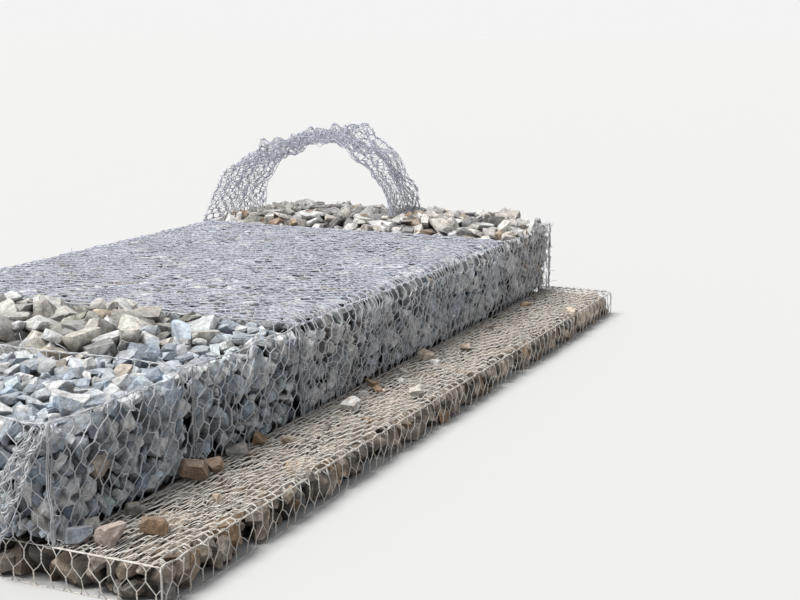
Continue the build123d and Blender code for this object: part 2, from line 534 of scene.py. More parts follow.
@dataclass
class StoneForms:
    """A set of broken stones that the fillings draw from.

    Attributes:
        detailed: number of stones with uneven breaks.
        plain: number of simple stones for deeper layers.
        cuts: least and most planes that break a block.
        breadth, thickness: range of a block's half width and height, its half length being one.
        break_reach: range of a break's distance from the middle, as a share of the block's own.
        shortest: length below which an edge is closed up.
        flattest: angle in degrees below which two broken faces are one.
        uneven: how far a broken face stands out or in, as a share of its width.
        broken_again: area above which a broken face is uneven.
        seed: picks the breaks.
    """

    detailed: int = 90
    plain: int = 24
    cuts: tuple[int, int] = (7, 11)
    breadth: tuple[float, float] = (0.58, 0.9)
    thickness: tuple[float, float] = (0.4, 0.7)
    break_reach: tuple[float, float] = (0.46, 0.82)
    shortest: float = 0.13
    flattest: float = 6
    uneven: float = 0.09
    broken_again: float = 0.12
    seed: int = 11
    forms: list[Skin] = field(default_factory=list)

    def build(self) -> None:
        """Breaks all stones."""
        rng = np.random.default_rng(self.seed)
        count = self.detailed + self.plain
        self.forms = [self._broken(rng, index < self.detailed) for index in range(count)]

    def _broken(self, rng: np.random.Generator, detailed: bool) -> Skin:
        """Breaks one stone of unit radius, longest along x and thinnest along z.

        Args:
            rng: random numbers.
            detailed: whether its faces are uneven.

        Returns:
            The stone's skin.
        """
        block = bmesh.new()
        bmesh.ops.create_cube(block, size=2)
        half = np.array([1.0, rng.uniform(*self.breadth), rng.uniform(*self.thickness)])
        bmesh.ops.scale(block, vec=Vector(half), verts=block.verts)
        for _ in range(int(rng.integers(*self.cuts)) if detailed else self.cuts[0] - 1):
            normal = rng.normal(size=3) / half
            normal /= np.linalg.norm(normal)
            reach = float(np.abs(normal) @ half) * rng.uniform(*self.break_reach)
            whole = block.verts[:] + block.edges[:] + block.faces[:]
            point, across = Vector(normal * reach), Vector(normal)
            bmesh.ops.bisect_plane(block, geom=whole, dist=1e-5, plane_co=point, plane_no=across, clear_outer=True)
            rim = [edge for edge in block.edges if edge.is_boundary]
            if rim:
                bmesh.ops.contextual_create(block, geom=rim)
        bmesh.ops.remove_doubles(block, verts=block.verts, dist=self.shortest)
        angle = math.radians(self.flattest)
        bmesh.ops.dissolve_limit(block, angle_limit=angle, verts=block.verts, edges=block.edges)
        if detailed:
            self._roughen(block, rng)
        bmesh.ops.recalc_face_normals(block, faces=block.faces)
        bmesh.ops.triangulate(block, faces=block.faces)
        points = np.array([vertex.co for vertex in block.verts])
        faces = np.array([[vertex.index for vertex in face.verts] for face in block.faces])
        volume = block.calc_volume()
        block.free()
        radius = (3 * volume / (4 * math.pi)) ** (1 / 3)
        return Skin((points - points.mean(0)) / radius, faces)

    def _roughen(self, block: bmesh.types.BMesh, rng: np.random.Generator) -> None:
        """Breaks each larger face into facets that meet a little above or below it.

        Args:
            block: the stone.
            rng: random numbers.
        """
        large = [face for face in block.faces if len(face.verts) > 3 and face.calc_area() > self.broken_again]
        for face in large:
            middle, normal = face.calc_center_median(), face.normal.copy()
            stray = 0.5 * (face.verts[int(rng.integers(len(face.verts)))].co - middle) * rng.uniform(0, 1)
            lift = self.uneven * math.sqrt(face.calc_area()) * rng.uniform(-1, 1)
            poked = bmesh.ops.poke(block, faces=[face])
            poked["verts"][0].co = middle + stray + normal * lift

    def pick(self, rng: np.random.Generator, near: bool) -> Skin:
        """A detailed stone if it lies near the outside, or else a simple one."""
        first, count = (0, self.detailed) if near else (self.detailed, self.plain)
        return self.forms[first + int(rng.integers(count))]


@dataclass(frozen=True)
class Grade:
    """Sizes of the stones in a load.

    Attributes:
        middle: middle radius.
        vary: how much radii vary.
        smallest, largest: limits of the radius.
    """

    middle: float
    vary: float
    smallest: float
    largest: float

    def draw(self, rng: np.random.Generator, count: int) -> Array:
        """Radii of some stones."""
        return np.clip(self.middle * np.exp(rng.normal(0, self.vary, count)), self.smallest, self.largest)


FINE_GRADE = Grade(0.032, 0.34, 0.015, 0.056)
MIDDLE_GRADE = Grade(0.038, 0.32, 0.018, 0.075)
MATTRESS_GRADE = Grade(0.043, 0.26, 0.026, 0.066)
PEBBLE_GRADE = Grade(0.022, 0.35, 0.012, 0.04)
BALL = 4.19  # volume of a ball of unit radius


@dataclass
class Load:
    """Places, sizes and directions of the stones of one filling.

    Attributes:
        centres: middle of each stone.
        radii: mean radius of each stone.
        depth: how deep each stone's middle lies behind the nearest open side.
        facing: outward direction of that side.
    """

    centres: Array
    radii: Array
    depth: Array
    facing: Array


@dataclass(frozen=True)
class Face:
    """An open side of a filling.

    Attributes:
        outward: direction that it looks in.
        depth: gives how deep points lie behind it.
        flush: whether a net holds the stones flush along it.
    """

    outward: tuple[float, float, float]
    depth: Surface
    flush: bool = True


@dataclass
class Filling:
    """Stones packed into the outer layer of a room.

    Attributes:
        low, high: the room's corners.
        faces: its open sides.
        walls: closed sides, as further faces that only hold the stones in.
        grade: sizes of the stones.
        coarser: gives how much larger the stones are from their places.
        layer: thickness of the layer that holds stones.
        dense: share of the layer's room that the stones take.
        largest: limit of a coarser stone's radius.
        trials: number of places that are tried.
        rounds: how often neighbours push each other.
        fresh_pairs: after how many rounds neighbours are looked up again.
        push_rates: share of an overlap that a push takes away, first and towards the end.
        press: how close two stones come, as a share of their radii.
        seat: how close a stone's middle comes to a side, as a share of its radius.
        seed: picks the stones.
    """

    low: Array
    high: Array
    faces: list[Face]
    walls: list[Face]
    grade: Grade = MIDDLE_GRADE
    coarser: Surface | None = None
    layer: float = 0.14
    dense: float = 0.78
    largest: float = 0.1
    trials: int = 60000
    rounds: int = 70
    fresh_pairs: int = 5
    push_rates: tuple[float, float] = (0.5, 0.3)
    press: float = 0.88
    seat: float = 0.76
    seed: int = 1

    def pack(self) -> Load:
        """Scatters the stones and presses them apart until they lie side by side.

        Returns:
            Where they lie.
        """
        rng = np.random.default_rng(self.seed)
        trial = rng.uniform(self.low, self.high, (self.trials, 3))
        depth, _ = self.depth_of(trial)
        inside = (depth > 0) & (depth < self.layer)
        room = float(np.prod(self.high - self.low)) * inside.mean()
        centres = trial[inside]
        radii = self.grade.draw(rng, len(centres))
        if self.coarser is not None:
            larger = self.coarser(centres)
            kept = rng.uniform(size=len(larger)) < (larger.min() / larger) ** 3
            centres, radii = centres[kept], np.minimum(radii * larger, self.largest)[kept]
        count = int(np.searchsorted(np.cumsum(BALL * radii**3), self.dense * room))
        centres, radii = centres[:count], radii[:count]
        for step in range(self.rounds):
            if step % self.fresh_pairs == 0:
                pairs = self._neighbours(centres, radii)
            centres = self._confined(centres, radii)
            late = step >= self.rounds * 0.7
            centres = self._apart(centres, radii, pairs, self.push_rates[late])
        centres = self._confined(centres, radii)
        depth, nearest = self.depth_of(centres)
        facing = np.array([face.outward for face in self.faces])[nearest]
        return Load(centres, radii, depth, facing)

    def depths(self, points: Array) -> Array:
        """Depth behind each open side, one row per point."""
        return np.stack([face.depth(points) for face in self.faces], -1)

    def depth_of(self, points: Array) -> tuple[Array, Array]:
        """Depth of each point behind its nearest open side, and the number of that side."""
        depths = self.depths(points)
        return depths.min(-1), depths.argmin(-1)

    def _confined(self, points: Array, radii: Array) -> Array:
        """Moves stones back into the layer.

        Args:
            points: their middles.
            radii: their radii.

        Returns:
            The moved middles.
        """
        depth, nearest = self.depth_of(points)
        outward = np.array([face.outward for face in self.faces])[nearest]
        points = points + outward * np.maximum(depth - self.layer, 0)[:, None]
        for face in self.faces + self.walls:
            short = np.maximum(self.seat * radii - face.depth(points), 0)
            points = points - np.array(face.outward) * short[:, None]
        return points

    def _neighbours(self, points: Array, radii: Array) -> Array:
        """Pairs of stones that lie close enough to touch soon.

        Args:
            points: middles of the stones.
            radii: their radii.

        Returns:
            Two stones' numbers per row.
        """
        pairs, margin = [], 0.02
        for index in range(len(points) - 1):
            rest = points[index + 1:] - points[index]
            close = (rest**2).sum(-1) < (radii[index + 1:] + radii[index] + margin) ** 2
            found = np.nonzero(close)[0] + index + 1
            pairs.append(np.stack([np.full(len(found), index), found], -1))
        return np.concatenate(pairs)

    def _apart(self, points: Array, radii: Array, pairs: Array, rate: float) -> Array:
        """Lets neighbours push each other away once.

        Args:
            points: middles of the stones.
            radii: their radii.
            pairs: which stones are neighbours.
            rate: share of an overlap that is taken away.

        Returns:
            The moved middles.
        """
        one, other = pairs.T
        gap = points[one] - points[other]
        never_nothing = 1e-9
        distance = np.sqrt((gap**2).sum(-1)) + never_nothing
        push = np.maximum(self.press * (radii[one] + radii[other]) - distance, 0) / distance
        share = radii[other] ** 3 / (radii[one] ** 3 + radii[other] ** 3)
        move = np.zeros_like(points)
        np.add.at(move, one, (push * share)[:, None] * gap)
        np.add.at(move, other, -(push * (1 - share))[:, None] * gap)
        return points + 2 * rate * move


def turned(rng: np.random.Generator, outward: Array, flat: bool, tilt: float = 0.22) -> Array:
    """A random turn of a stone.

    Args:
        rng: random numbers.
        outward: direction of the open side by it.
        flat: whether its thinnest direction is laid towards that side.
        tilt: how far a flat stone strays from that.

    Returns:
        The turn as a 3 by 3 matrix whose rows are the stone's axes.
    """
    thin = outward + rng.normal(0, tilt, 3) if flat else rng.normal(size=3)
    thin = thin / np.linalg.norm(thin)
    along = np.cross(thin, rng.normal(size=3))
    along /= np.linalg.norm(along)
    return np.stack([along, np.cross(thin, along), thin])


@dataclass
class StonePile:
    """A filling's stones as one mesh.

    Attributes:
        forms: the stones to draw from.
        filling: where they lie.
        mix: gives the colours for some stones from their places.
        laid_flat: share of the stones on top that lie with a flat side up.
        turned_flat: share of those by the side nets that turn a flat side out.
        near_depth: depth in radii up to which a stone is a detailed one.
        edge_reach: the same behind two open sides, for edge stones, which aren't flat.
        stretch: range in which a stone is drawn out along each of its axes.
        thin, thick: heights of a flat stone and of another, before that.
        seat_reach: depth in radii up to which a stone touches a net.
        clear: how far it stays behind it.
        painted_gap_shade: painted shade, how much of their brightness stones lose deep in the gaps, where shade
            falls.
        painted_gap_shade_depth: depth at which they have lost it.
    """

    forms: StoneForms
    filling: Filling
    mix: Mix
    laid_flat: float = 0.7
    turned_flat: float = 0.25
    near_depth: float = 1.45
    edge_reach: float = 2.0
    stretch: tuple[float, float] = (0.78, 1.24)
    thin: float = 0.64
    thick: float = 0.92
    seat_reach: float = 1.25
    clear: float = 0.002
    painted_gap_shade: float = 0.88
    painted_gap_shade_depth: float = 0.058

    def skin(self) -> tuple[Skin, Array]:
        """Packs and shapes the stones.

        Returns:
            All stones as one skin, and the colour of each vertex, darkened deep in the gaps as painted shade.
        """
        rng = np.random.default_rng(self.filling.seed + 500)
        load = self.filling.pack()
        shades = self.mix(rng, load.centres)
        cornered = (self.filling.depths(load.centres) < self.edge_reach * load.radii[:, None]).sum(-1) > 1
        parts, colours = [], []
        for centre, radius, depth, outward, edge, shade in zip(
            load.centres, load.radii, load.depth, load.facing, cornered, shades
        ):
            near = depth < self.near_depth * radius
            form = self.forms.pick(rng, near)
            share = self.laid_flat if outward[2] > 0.9 else self.turned_flat
            flat = near and rng.random() < share and not edge
            stretch = rng.uniform(*self.stretch, 3) * (1, 1, self.thin if flat else self.thick)
            stretch /= np.prod(stretch) ** (1 / 3)
            points = (form.points * stretch) @ turned(rng, outward, flat) * radius
            points = self._seated(points + centre, centre, radius)
            parts.append(Skin(points, form.faces))
            colours.append(np.broadcast_to(shade, (len(points), 3)))
        skin = Skin.joined(parts)
        skin.points[:, 2] = np.maximum(skin.points[:, 2], self.filling.low[2] + self.clear)
        # Painted shade: vertices deep behind the open sides are darkened, standing in for the shade in the gaps
        # between stones.
        sunk = np.clip(self.filling.depth_of(skin.points)[0] / self.painted_gap_shade_depth, 0, 1)
        return skin, np.concatenate(colours) * (1 - self.painted_gap_shade * sunk)[:, None]

    def _seated(self, points: Array, centre: Array, radius: float) -> Array:
        """Moves a stone by a net, or by two at an edge, until it just touches them.

        Args:
            points: the stone's points.
            centre: its middle.
            radius: its mean radius.

        Returns:
            The moved points.
        """
        for face in self.filling.faces:
            if face.flush and float(face.depth(centre[None])[0]) <= self.seat_reach * radius:
                points = points + np.array(face.outward) * (float(face.depth(points).min()) - self.clear)
        for face in self.filling.faces + self.filling.walls:
            if face.flush:
                over = min(float(face.depth(points).min()) - self.clear / 2, 0.0)
                points = points + np.array(face.outward) * over
        return points


def piece(
    name: str, skin: Skin, finish: StoneFinish | WireFinish, nodes: Sequence[str],
    colours: Array | None = None,
) -> None:
    """Puts a finished piece into the scene.

    Args:
        name: name of the piece.
        skin: its shape.
        finish: its material.
        nodes: the solids it stands for.
        colours: colour of each vertex, for stones, whose faces are shaded flat.
    """
    mesh = skin.mesh(name, smooth=colours is None)
    if colours is not None:
        shade = mesh.attributes.new("shade", "FLOAT_COLOR", "POINT")
        full = np.concatenate([colours, np.ones((len(colours), 1))], 1)
        shade.data.foreach_set("color", full.astype(np.float32).ravel())
    mesh.materials.append(finish.material())
    made = bpy.data.objects.new(name, mesh)
    bpy.context.scene.collection.objects.link(made)
    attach(made, BODY)
    if nodes:
        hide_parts(*nodes)
    log.info("%s: %d triangles", name, len(skin.faces))


# Nets


@dataclass(frozen=True)
class Weave:
    """Hexagonal netting of wires twisted in pairs.

    Attributes:
        cell_width: distance from twist to twist across the net.
        cell_rise: distance from one row of twists to the next.
        twist: length of a twist.
        wire: thickness of the coated wire.
        turns: turns of the two wires round each other.
        steps: pieces that a wire has in a twist.
        sides: faces round a wire.
    """

    cell_width: float = 1 / 12
    cell_rise: float = 0.5 / 7
    twist: float = 0.042
    wire: float = 0.0044
    turns: float = 1.5
    steps: int = 6
    sides: int = 4

    def wider(self, share: float) -> "Weave":
        """The same netting pulled a little wider, for a layer that lies over another."""
        return replace(self, cell_width=self.cell_width * share, cell_rise=self.cell_rise / share)

    def flat(self, width: float, height: float) -> Skin:
        """A flat net that fills a rectangle, before it is drawn over the stones.

        Args:
            width: size across the twists.
            height: size along the twists.

        Returns:
            The net; its points are across, along, and out of the net.
        """
        columns = max(round(width / self.cell_width), 1)
        rows = max(round(height / self.cell_rise), 1)
        pitch, rise = width / columns, height / rows
        strands = [self._strand(pitch, rise, hand) for hand in (1, -1)]
        unit = Skin.joined(strands)
        across = (np.arange(columns)[None, :] + 0.25 + 0.5 * (np.arange(rows)[:, None] % 2)) * pitch
        along = np.broadcast_to((np.arange(rows)[:, None] + 0.5) * rise, across.shape)
        shift = np.stack([across.ravel(), along.ravel(), np.zeros(across.size)], -1)
        points = (shift[:, None, :] + unit.points[None]).reshape(-1, 3)
        starts = np.arange(len(shift))[:, None, None] * len(unit.points)
        faces = (starts + unit.faces[None]).reshape(-1, 3)
        return self._welded(Skin(points, faces), len(strands[0].points))

    def _strand(self, pitch: float, rise: float, hand: int) -> Skin:
        """One wire through a twist, from the middle of one slanted run to the next.

        Args:
            pitch: width of a cell.
            rise: height of a row.
            hand: side that the wire starts on, 1 or -1.

        Returns:
            The wire's skin, round the twist's middle.
        """
        half = self.wire / 2
        place = np.linspace(-0.5, 0.5, self.steps + 1)
        turn = (np.pi if hand > 0 else 0) + (place + 0.5) * 2 * np.pi * self.turns
        twist = np.stack([half * np.cos(turn), place * self.twist, half * np.sin(turn)], -1)
        start = np.array([[-hand * pitch / 4, -rise / 2, 0]])
        path = np.concatenate([start, twist, -start])
        heading = np.gradient(path, axis=0)
        heading[0] = heading[-1] = (hand * (pitch / 2 - 2 * half), rise - self.twist, 0)
        heading /= np.linalg.norm(heading, axis=1, keepdims=True)
        across = np.cross(heading, (0, 0, 1))
        across /= np.linalg.norm(across, axis=1, keepdims=True)
        return Skin(*tube(path, heading, half, self.sides, across))

    def _welded(self, net: Skin, per_strand: int) -> Skin:
        """Joins a net's runs where they meet, and closes its cut ends.

        Args:
            net: the net, wire by wire.
            per_strand: number of points of a wire.

        Returns:
            The joined net.
        """
        sides, places_per_metre = self.sides, 1e5
        rings = np.arange(len(net.points)).reshape(-1, per_strand)
        firsts, lasts = rings[:, :sides], rings[:, -sides:]
        ends = np.concatenate([firsts, lasts])
        middle = np.round(net.points[ends].mean(1) * places_per_metre).astype(np.int64)
        _, group, count = np.unique(middle, axis=0, return_inverse=True, return_counts=True)
        group = group.ravel()
        target = np.arange(len(net.points))
        order = np.argsort(group, kind="stable")
        for first, second in zip(order[:-1], order[1:]):
            if group[first] == group[second]:
                one, other = ends[first], ends[second]
                gap = np.linalg.norm(net.points[one][:, None] - net.points[other][None], axis=-1)
                target[other] = one[gap.argmin(0)]
        cut = count[group] == 1
        caps = [firsts[cut[: len(rings)]][:, ::-1], lasts[cut[len(rings):]]]
        fans = [rows[:, [0, k, k + 1]] for rows in caps for k in range(1, sides - 1)]
        used, faces = np.unique(np.concatenate([target[net.faces]] + fans), return_inverse=True)
        return Skin(net.points[used], faces.reshape(-1, 3))


FACE_WEAVE = Weave()
PLAIN_WEAVE = Weave(steps=3, sides=3)
REAR_WEAVE = Weave(steps=2, sides=3)
PULLED_WEAVE = Weave(cell_width=0.135, cell_rise=0.036, twist=0.024, steps=2, sides=3)
LID_WEAVE = Weave(wire=0.0046, steps=2, sides=3)
VEIL_WEAVE = Weave(cell_width=0.094, cell_rise=0.055, twist=0.034, wire=0.0048, steps=2, sides=3)


@dataclass(frozen=True)
class Profile:
    """Line of a net up a side of a basket, round its edge and over its top.

    Attributes:
        plane: where the side stands, along y.
        base, rim: height of its foot and of the top.
        radius: of the rounded edge.
        side: the way the side looks.
    """

    plane: float
    base: float
    rim: float
    radius: float
    side: Side

    @property
    def arc(self) -> float:
        """Length of net from the edge's middle to where it is straight."""
        return math.pi * self.radius / 4

    @property
    def upright(self) -> float:
        """Length of net from the foot to the edge's middle."""
        return self.rim - self.base - self.radius + self.arc

    def place(self, run: Array) -> tuple[Array, Array, Array, Array]:
        """Where a point of the net lies.

        Args:
            run: length of net from the edge's middle, negative down the side.

        Returns:
            Its y and z, and the y and z of the outward direction there.
        """
        bend = np.clip((run + self.arc) / max(self.radius, TINY), 0, math.pi / 2)
        if self.radius < TINY:
            bend = np.where(run > 0, math.pi / 2, 0.0)
        inward = self.radius * (1 - np.cos(bend)) + np.maximum(run - self.arc, 0)
        up = self.rim - self.radius + self.radius * np.sin(bend) + np.minimum(run + self.arc, 0)
        out_y = self.side.value * np.cos(bend)
        return self.plane - self.side.value * inward, up, out_y, np.sin(bend)


SIDE_WAVES, END_WAVES, CORNER_WAVES = 9, 5, 40  # they take each net's waves from another place


@dataclass
class BasketForm:
    """Outer form of a basket, which its nets and its stones share.

    Attributes:
        low, high: corners of its nominal room.
        edge_radius: of the rounded long edges under a lid.
        bulge: how far the sides swell in their middle.
        slack: how far the nets wander in and out over the stones.
        seed: picks the wandering.
        lid_slack: the same for a lid.
        unrest: how uneven the swelling is.
        rim_wave, rim_reach: how far a lid's edge rises and falls, and how wide a band does.
        corner_wave, corner_reach: the same for the front and end nets at the near corner.
        sealed: how far the dark mass keeps from a neighbour's.
    """

    low: Array
    high: Array
    edge_radius: float
    bulge: float = 0.024
    slack: float = 0.009
    seed: int = 1
    lid_slack: float = 0.010
    unrest: float = 0.45
    rim_wave: float = 0.005
    rim_reach: float = 0.15
    corner_wave: float = 0.016
    corner_reach: float = 0.12
    sealed: float = 0.002

    def __post_init__(self) -> None:
        """Picks the waves of each net."""
        self.wander = Ripple(self.seed, 0.17)
        self.swell = Ripple(self.seed + 1, 0.6)
        self.lid_wander = Ripple(self.seed + 2, 0.26)
        self.rim_wander = Ripple(self.seed + 3, 0.27)

    def profile(self, side: Side) -> Profile:
        """Line of the net up one side and over the edge."""
        plane = self.low[1] if side is Side.FRONT else self.high[1]
        return Profile(plane, self.low[2], self.high[2], self.edge_radius, side)

    def share(self, values: Array, axis: int) -> Array:
        """Places along an axis of the room, from 0 at its low corner to 1 at its high one."""
        return (values - self.low[axis]) / (self.high[axis] - self.low[axis])

    def _swollen(self, hold: Array, place: Array) -> Array:
        """A swelling with its waves, held back by the edges."""
        waves = self.slack * self.wander.at(place) + self.unrest * self.bulge * self.swell.at(place)
        return hold * (self.bulge + waves)

    def side_swell(self, x: Array, z: Array, side: Side) -> Array:
        """How far a long side stands out of its plane, at places on it."""
        hold = window(self.share(x, 0), 0.5) * window(self.share(z, 2), 0.5)
        return self._swollen(hold, np.stack([x, z + SIDE_WAVES * side.value], -1))

    def end_swell(self, y: Array, z: Array) -> Array:
        """How far an end stands out of its plane, at places on it."""
        hold = window(self.share(y, 1), 0.4) * window(self.share(z, 2), 0.5)
        return self._swollen(hold, np.stack([y + END_WAVES, z], -1))

    def lid_swell(self, x: Array, y: Array) -> Array:
        """How far a lid stands above its level, at places on it."""
        hold, waves = window(self.share(x, 0), 0.5) * window(self.share(y, 1), 0.3), np.stack([x, y], -1)
        return hold * (self.lid_slack * self.lid_wander.at(waves) + 0.35 * self.lid_slack)

    def rim_rise(self, x: Array, run: Array) -> Array:
        """How far the stones push up a lid's edge, at a length of net from its middle."""
        rise = self.rim_wave * window(self.share(x, 0), 0.35) * self.rim_wander.at(x[:, None])
        return rise * np.exp(-((run / self.rim_reach) ** 2))

    def corner_stray(self, z: Array, away: Array) -> Array:
        """How far the net by the near corner strays, at heights and distances from the corner."""
        wave = self.wander.at(np.stack([z, 0 * z + CORNER_WAVES], -1))
        return self.corner_wave * window(self.share(z, 2), 0.5) * wave * np.exp(-((away / self.corner_reach) ** 2))

    def sides(self, first: bool, last: bool) -> tuple[list[Face], list[Face]]:
        """Sides and floor of the room, which hold the stones.

        Args:
            first, last: whether it stands at the near or far end of its row.

        Returns:
            The sides with nets that show, and the floor and sides to neighbours.
        """
        low, high = self.low, self.high
        faces = [
            Face((0, -1, 0), lambda p: p[:, 1] - low[1] + self.side_swell(p[:, 0], p[:, 2], Side.FRONT)),
            Face((0, 1, 0), lambda p: high[1] - p[:, 1] + self.side_swell(p[:, 0], p[:, 2], Side.BACK)),
        ]
        walls = [Face((0, 0, -1), lambda p: p[:, 2] - low[2])]
        near = Face((-1, 0, 0), lambda p: p[:, 0] - low[0] + first * self.end_swell(p[:, 1], p[:, 2]))
        far = Face((1, 0, 0), lambda p: high[0] - p[:, 0] + last * self.end_swell(p[:, 1], p[:, 2]))
        (faces if first else walls).append(near)
        (faces if last else walls).append(far)
        return faces, walls

    def inner(self, first: bool, last: bool, inset: float) -> tuple[Array, Array]:
        """Corners of the dark mass, which stays inset behind the nets that show."""
        near, far = (inset if ends else self.sealed for ends in (first, last))
        return self.low + (near, inset, 0), self.high - (far, inset, 0)


@dataclass
class NetPanel:
    """A rectangle of netting with an edge wire round it, drawn over a form.

    Attributes:
        weave: the netting.
        width, height: its size across and along its twists.
        draw: maps flat points (across, along, out) to their places.
        edges: which of its edges have a thick wire: left, right, bottom, top.
        edge_wire: thickness of that wire.
        drift: how far cells are pulled out of line.
        layers: how many nets lie on each other.
        wider: how much wider the cells of each further net are.
        apart: distance between two nets, in thicknesses of their wire.
        spacing: of the points of an edge wire.
        seed: picks the drift.
    """

    weave: Weave
    width: float
    height: float
    draw: Draw
    edges: str = "lrbt"
    edge_wire: float = 0.0048
    drift: float = 0.013
    layers: int = 1
    wider: float = 0.14
    apart: float = 1.4
    spacing: float = 0.03
    seed: int = 1

    def skin(self) -> Skin:
        """Weaves the nets and lays their edge wires.

        Returns:
            All of them as one skin.
        """
        parts = [self._layer(layer) for layer in range(self.layers)]
        parts += [swept(line, self.edge_wire / 2) for line in self.edge_lines(self.edges)]
        return Skin.joined(parts)

    def _layer(self, layer: int) -> Skin:
        """One net, its cells pulled out of line by the stones under them.

        Args:
            layer: number of nets under it.

        Returns:
            Its skin.
        """
        net = self.weave.wider(1 + self.wider * layer).flat(self.width, self.height)
        across, along, out = net.points.T
        hold = window(across / self.width, 0.4) * window(along / self.height, 0.4)
        place = np.stack([across, along], -1)
        seed = self.seed + 100 * layer
        for wavelength, share in ((0.6, 1.5), (0.22, 1.0), (0.1, 0.55)):
            amount = share * self.drift
            across = across + hold * amount * Ripple(seed, wavelength).at(place)
            along = along + hold * amount * Ripple(seed + 7, wavelength).at(place)
        return Skin(self.draw(across, along, out + layer * self.weave.wire * self.apart), net.faces)

    def edge_lines(self, edges: str) -> list[Array]:
        """Middle lines of the wires along some edges.

        Args:
            edges: which edges, any of l, r, b and t.

        Returns:
            One row of points per edge.
        """
        lines, fewest, size = [], 8, (self.width, self.height)
        for edge in edges:
            axis = int(edge in "lr")
            count = max(int(size[axis] / self.spacing), fewest)
            flat = [np.full(count, 0.0 if edge in "lb" else length) for length in size]
            flat[axis] = np.linspace(0, size[axis], count)
            lines.append(self.draw(*flat, np.zeros(count)))
        return lines


def loose_ends(places: Array, outward: Sequence[float], seed: int, longest: float = 0.09) -> list[Skin]:
    """Cut ends of lacing wire that curl away from a net.

    Args:
        places: where the ends start.
        outward: direction that they lean to.
        seed: picks their curls.
        longest: length of the longest.

    Returns:
        One thin wire per place.
    """
    rng = np.random.default_rng(seed)
    ends = []
    for place in places:
        heading = np.asarray(outward, float) + rng.normal(0, 0.6, 3)
        heading /= np.linalg.norm(heading)
        bend = np.cross(heading, rng.normal(size=3))
        share = np.linspace(0, 1, 7)[:, None]
        length = longest * rng.uniform(0.4, 1)
        path = place + length * (share * heading + 0.35 * share**2 * bend)
        ends.append(swept(path, LACE_RADIUS, LACE_SIDES))
    return ends


# The wall's pieces


NEARBY, ABOVE, LEVEL = 0.003, 0.005, 0.0005


@dataclass(frozen=True)
class Heap:
    """Top of an open filling, read from its solid: edges, and a crown above them.

    Attributes:
        outer: lowest and highest x and y of the room.
        crown: the same of the crown.
        edge: height of the stones along the nets.
        top: height of the crown.
        lumps: how uneven the top is.
        fill_up: how far small stones fill up the corner along the nets.
        seed: picks the lumps.
        lump_size: distance between lumps.
    """

    outer: Array
    crown: Array
    edge: float
    top: float
    lumps: float = 0.016
    fill_up: float = 0.03
    seed: int = 3
    lump_size: float = 0.4

    @staticmethod
    def of(node: bpy.types.Object, seed: int) -> "Heap":
        """Reads the heap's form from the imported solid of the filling.

        The edge is as high as the solid's outer corners. The crown is the level above them that
        most vertices share, since its large stones all stand in that plane.

        Args:
            node: the solid.
            seed: picks the lumps.

        Returns:
            The heap.
        """
        points = np.array([vertex.co for vertex in node.data.vertices])
        outer = np.array([points[:, :2].min(0), points[:, :2].max(0)])
        tops = []
        for x, y in itertools.product(outer[:, 0], outer[:, 1]):
            close = np.abs(points[:, :2] - (x, y)).max(1) < NEARBY
            tops.append(points[close, 2].max() if close.any() else np.inf)
        edge = float(min(tops))
        heights, shared = np.unique(np.round(points[:, 2], 4), return_counts=True)
        shared = np.where(heights > edge + ABOVE, shared, 0)
        top = float(heights[shared.argmax()])
        plane = points[np.abs(points[:, 2] - top) < LEVEL]
        crown = np.array([plane[:, :2].min(0), plane[:, :2].max(0)])
        return Heap(outer, crown, edge, top, seed=seed)

    def height(self, x: Array, y: Array) -> Array:
        """Height of the stones' top.

        Args:
            x, y: places.

        Returns:
            One height per place.
        """
        shares, steepest = [], 0.01
        for value, low, high, crown_low, crown_high in zip((x, y), *self.outer, *self.crown):
            rise = (value - low) / max(crown_low - low, steepest)
            fall = (high - value) / max(high - crown_high, steepest)
            shares.append(np.minimum(rise, fall))
        share = np.clip(np.minimum(*shares), 0, 1)
        swell = share * share * (3 - 2 * share)
        lumps = self.lumps * Ripple(self.seed, self.lump_size).at(np.stack([x, y], -1))
        return self.edge + self.fill_up + (self.top - self.edge - self.fill_up) * swell + lumps


def rubble_core(low: Array, high: Array, top: Level, inset: float, seed: int) -> Skin:
    """Closed dark mass deep in a filling, which no light passes.

    Args:
        low, high: corners of the mass.
        top: height of the filling over a place.
        inset: how far the mass stays below that height.
        seed: picks its lumps.

    Returns:
        Its skin, in triangles.
    """
    across, along = 9, 21
    x, y = np.meshgrid(np.linspace(low[0], high[0], across), np.linspace(low[1], high[1], along), indexing="ij")
    least, lumps, lump_size = 0.01, 0.012, 0.12
    z = np.maximum(top(x.ravel(), y.ravel()) - inset, low[2] + least)
    z = z + lumps * Ripple(seed, lump_size).at(np.stack([x.ravel(), y.ravel()], -1))
    upper = np.stack([x.ravel(), y.ravel(), z], -1)
    lower = np.stack([x.ravel(), y.ravel(), np.full(x.size, low[2])], -1)
    number = np.arange(x.size).reshape(across, along)
    a, b, c, d = number[:-1, :-1], number[1:, :-1], number[1:, 1:], number[:-1, 1:]
    quads = [np.stack([a, b, c, d], -1).reshape(-1, 4), np.stack([a, d, c, b], -1).reshape(-1, 4) + x.size]
    for rim in (number[:, 0], number[-1, :], number[::-1, -1], number[0, ::-1]):
        quads.append(np.stack([rim[:-1] + x.size, rim[1:] + x.size, rim[1:], rim[:-1]], -1))
    return Skin(np.concatenate([upper, lower]), split(np.concatenate(quads)))


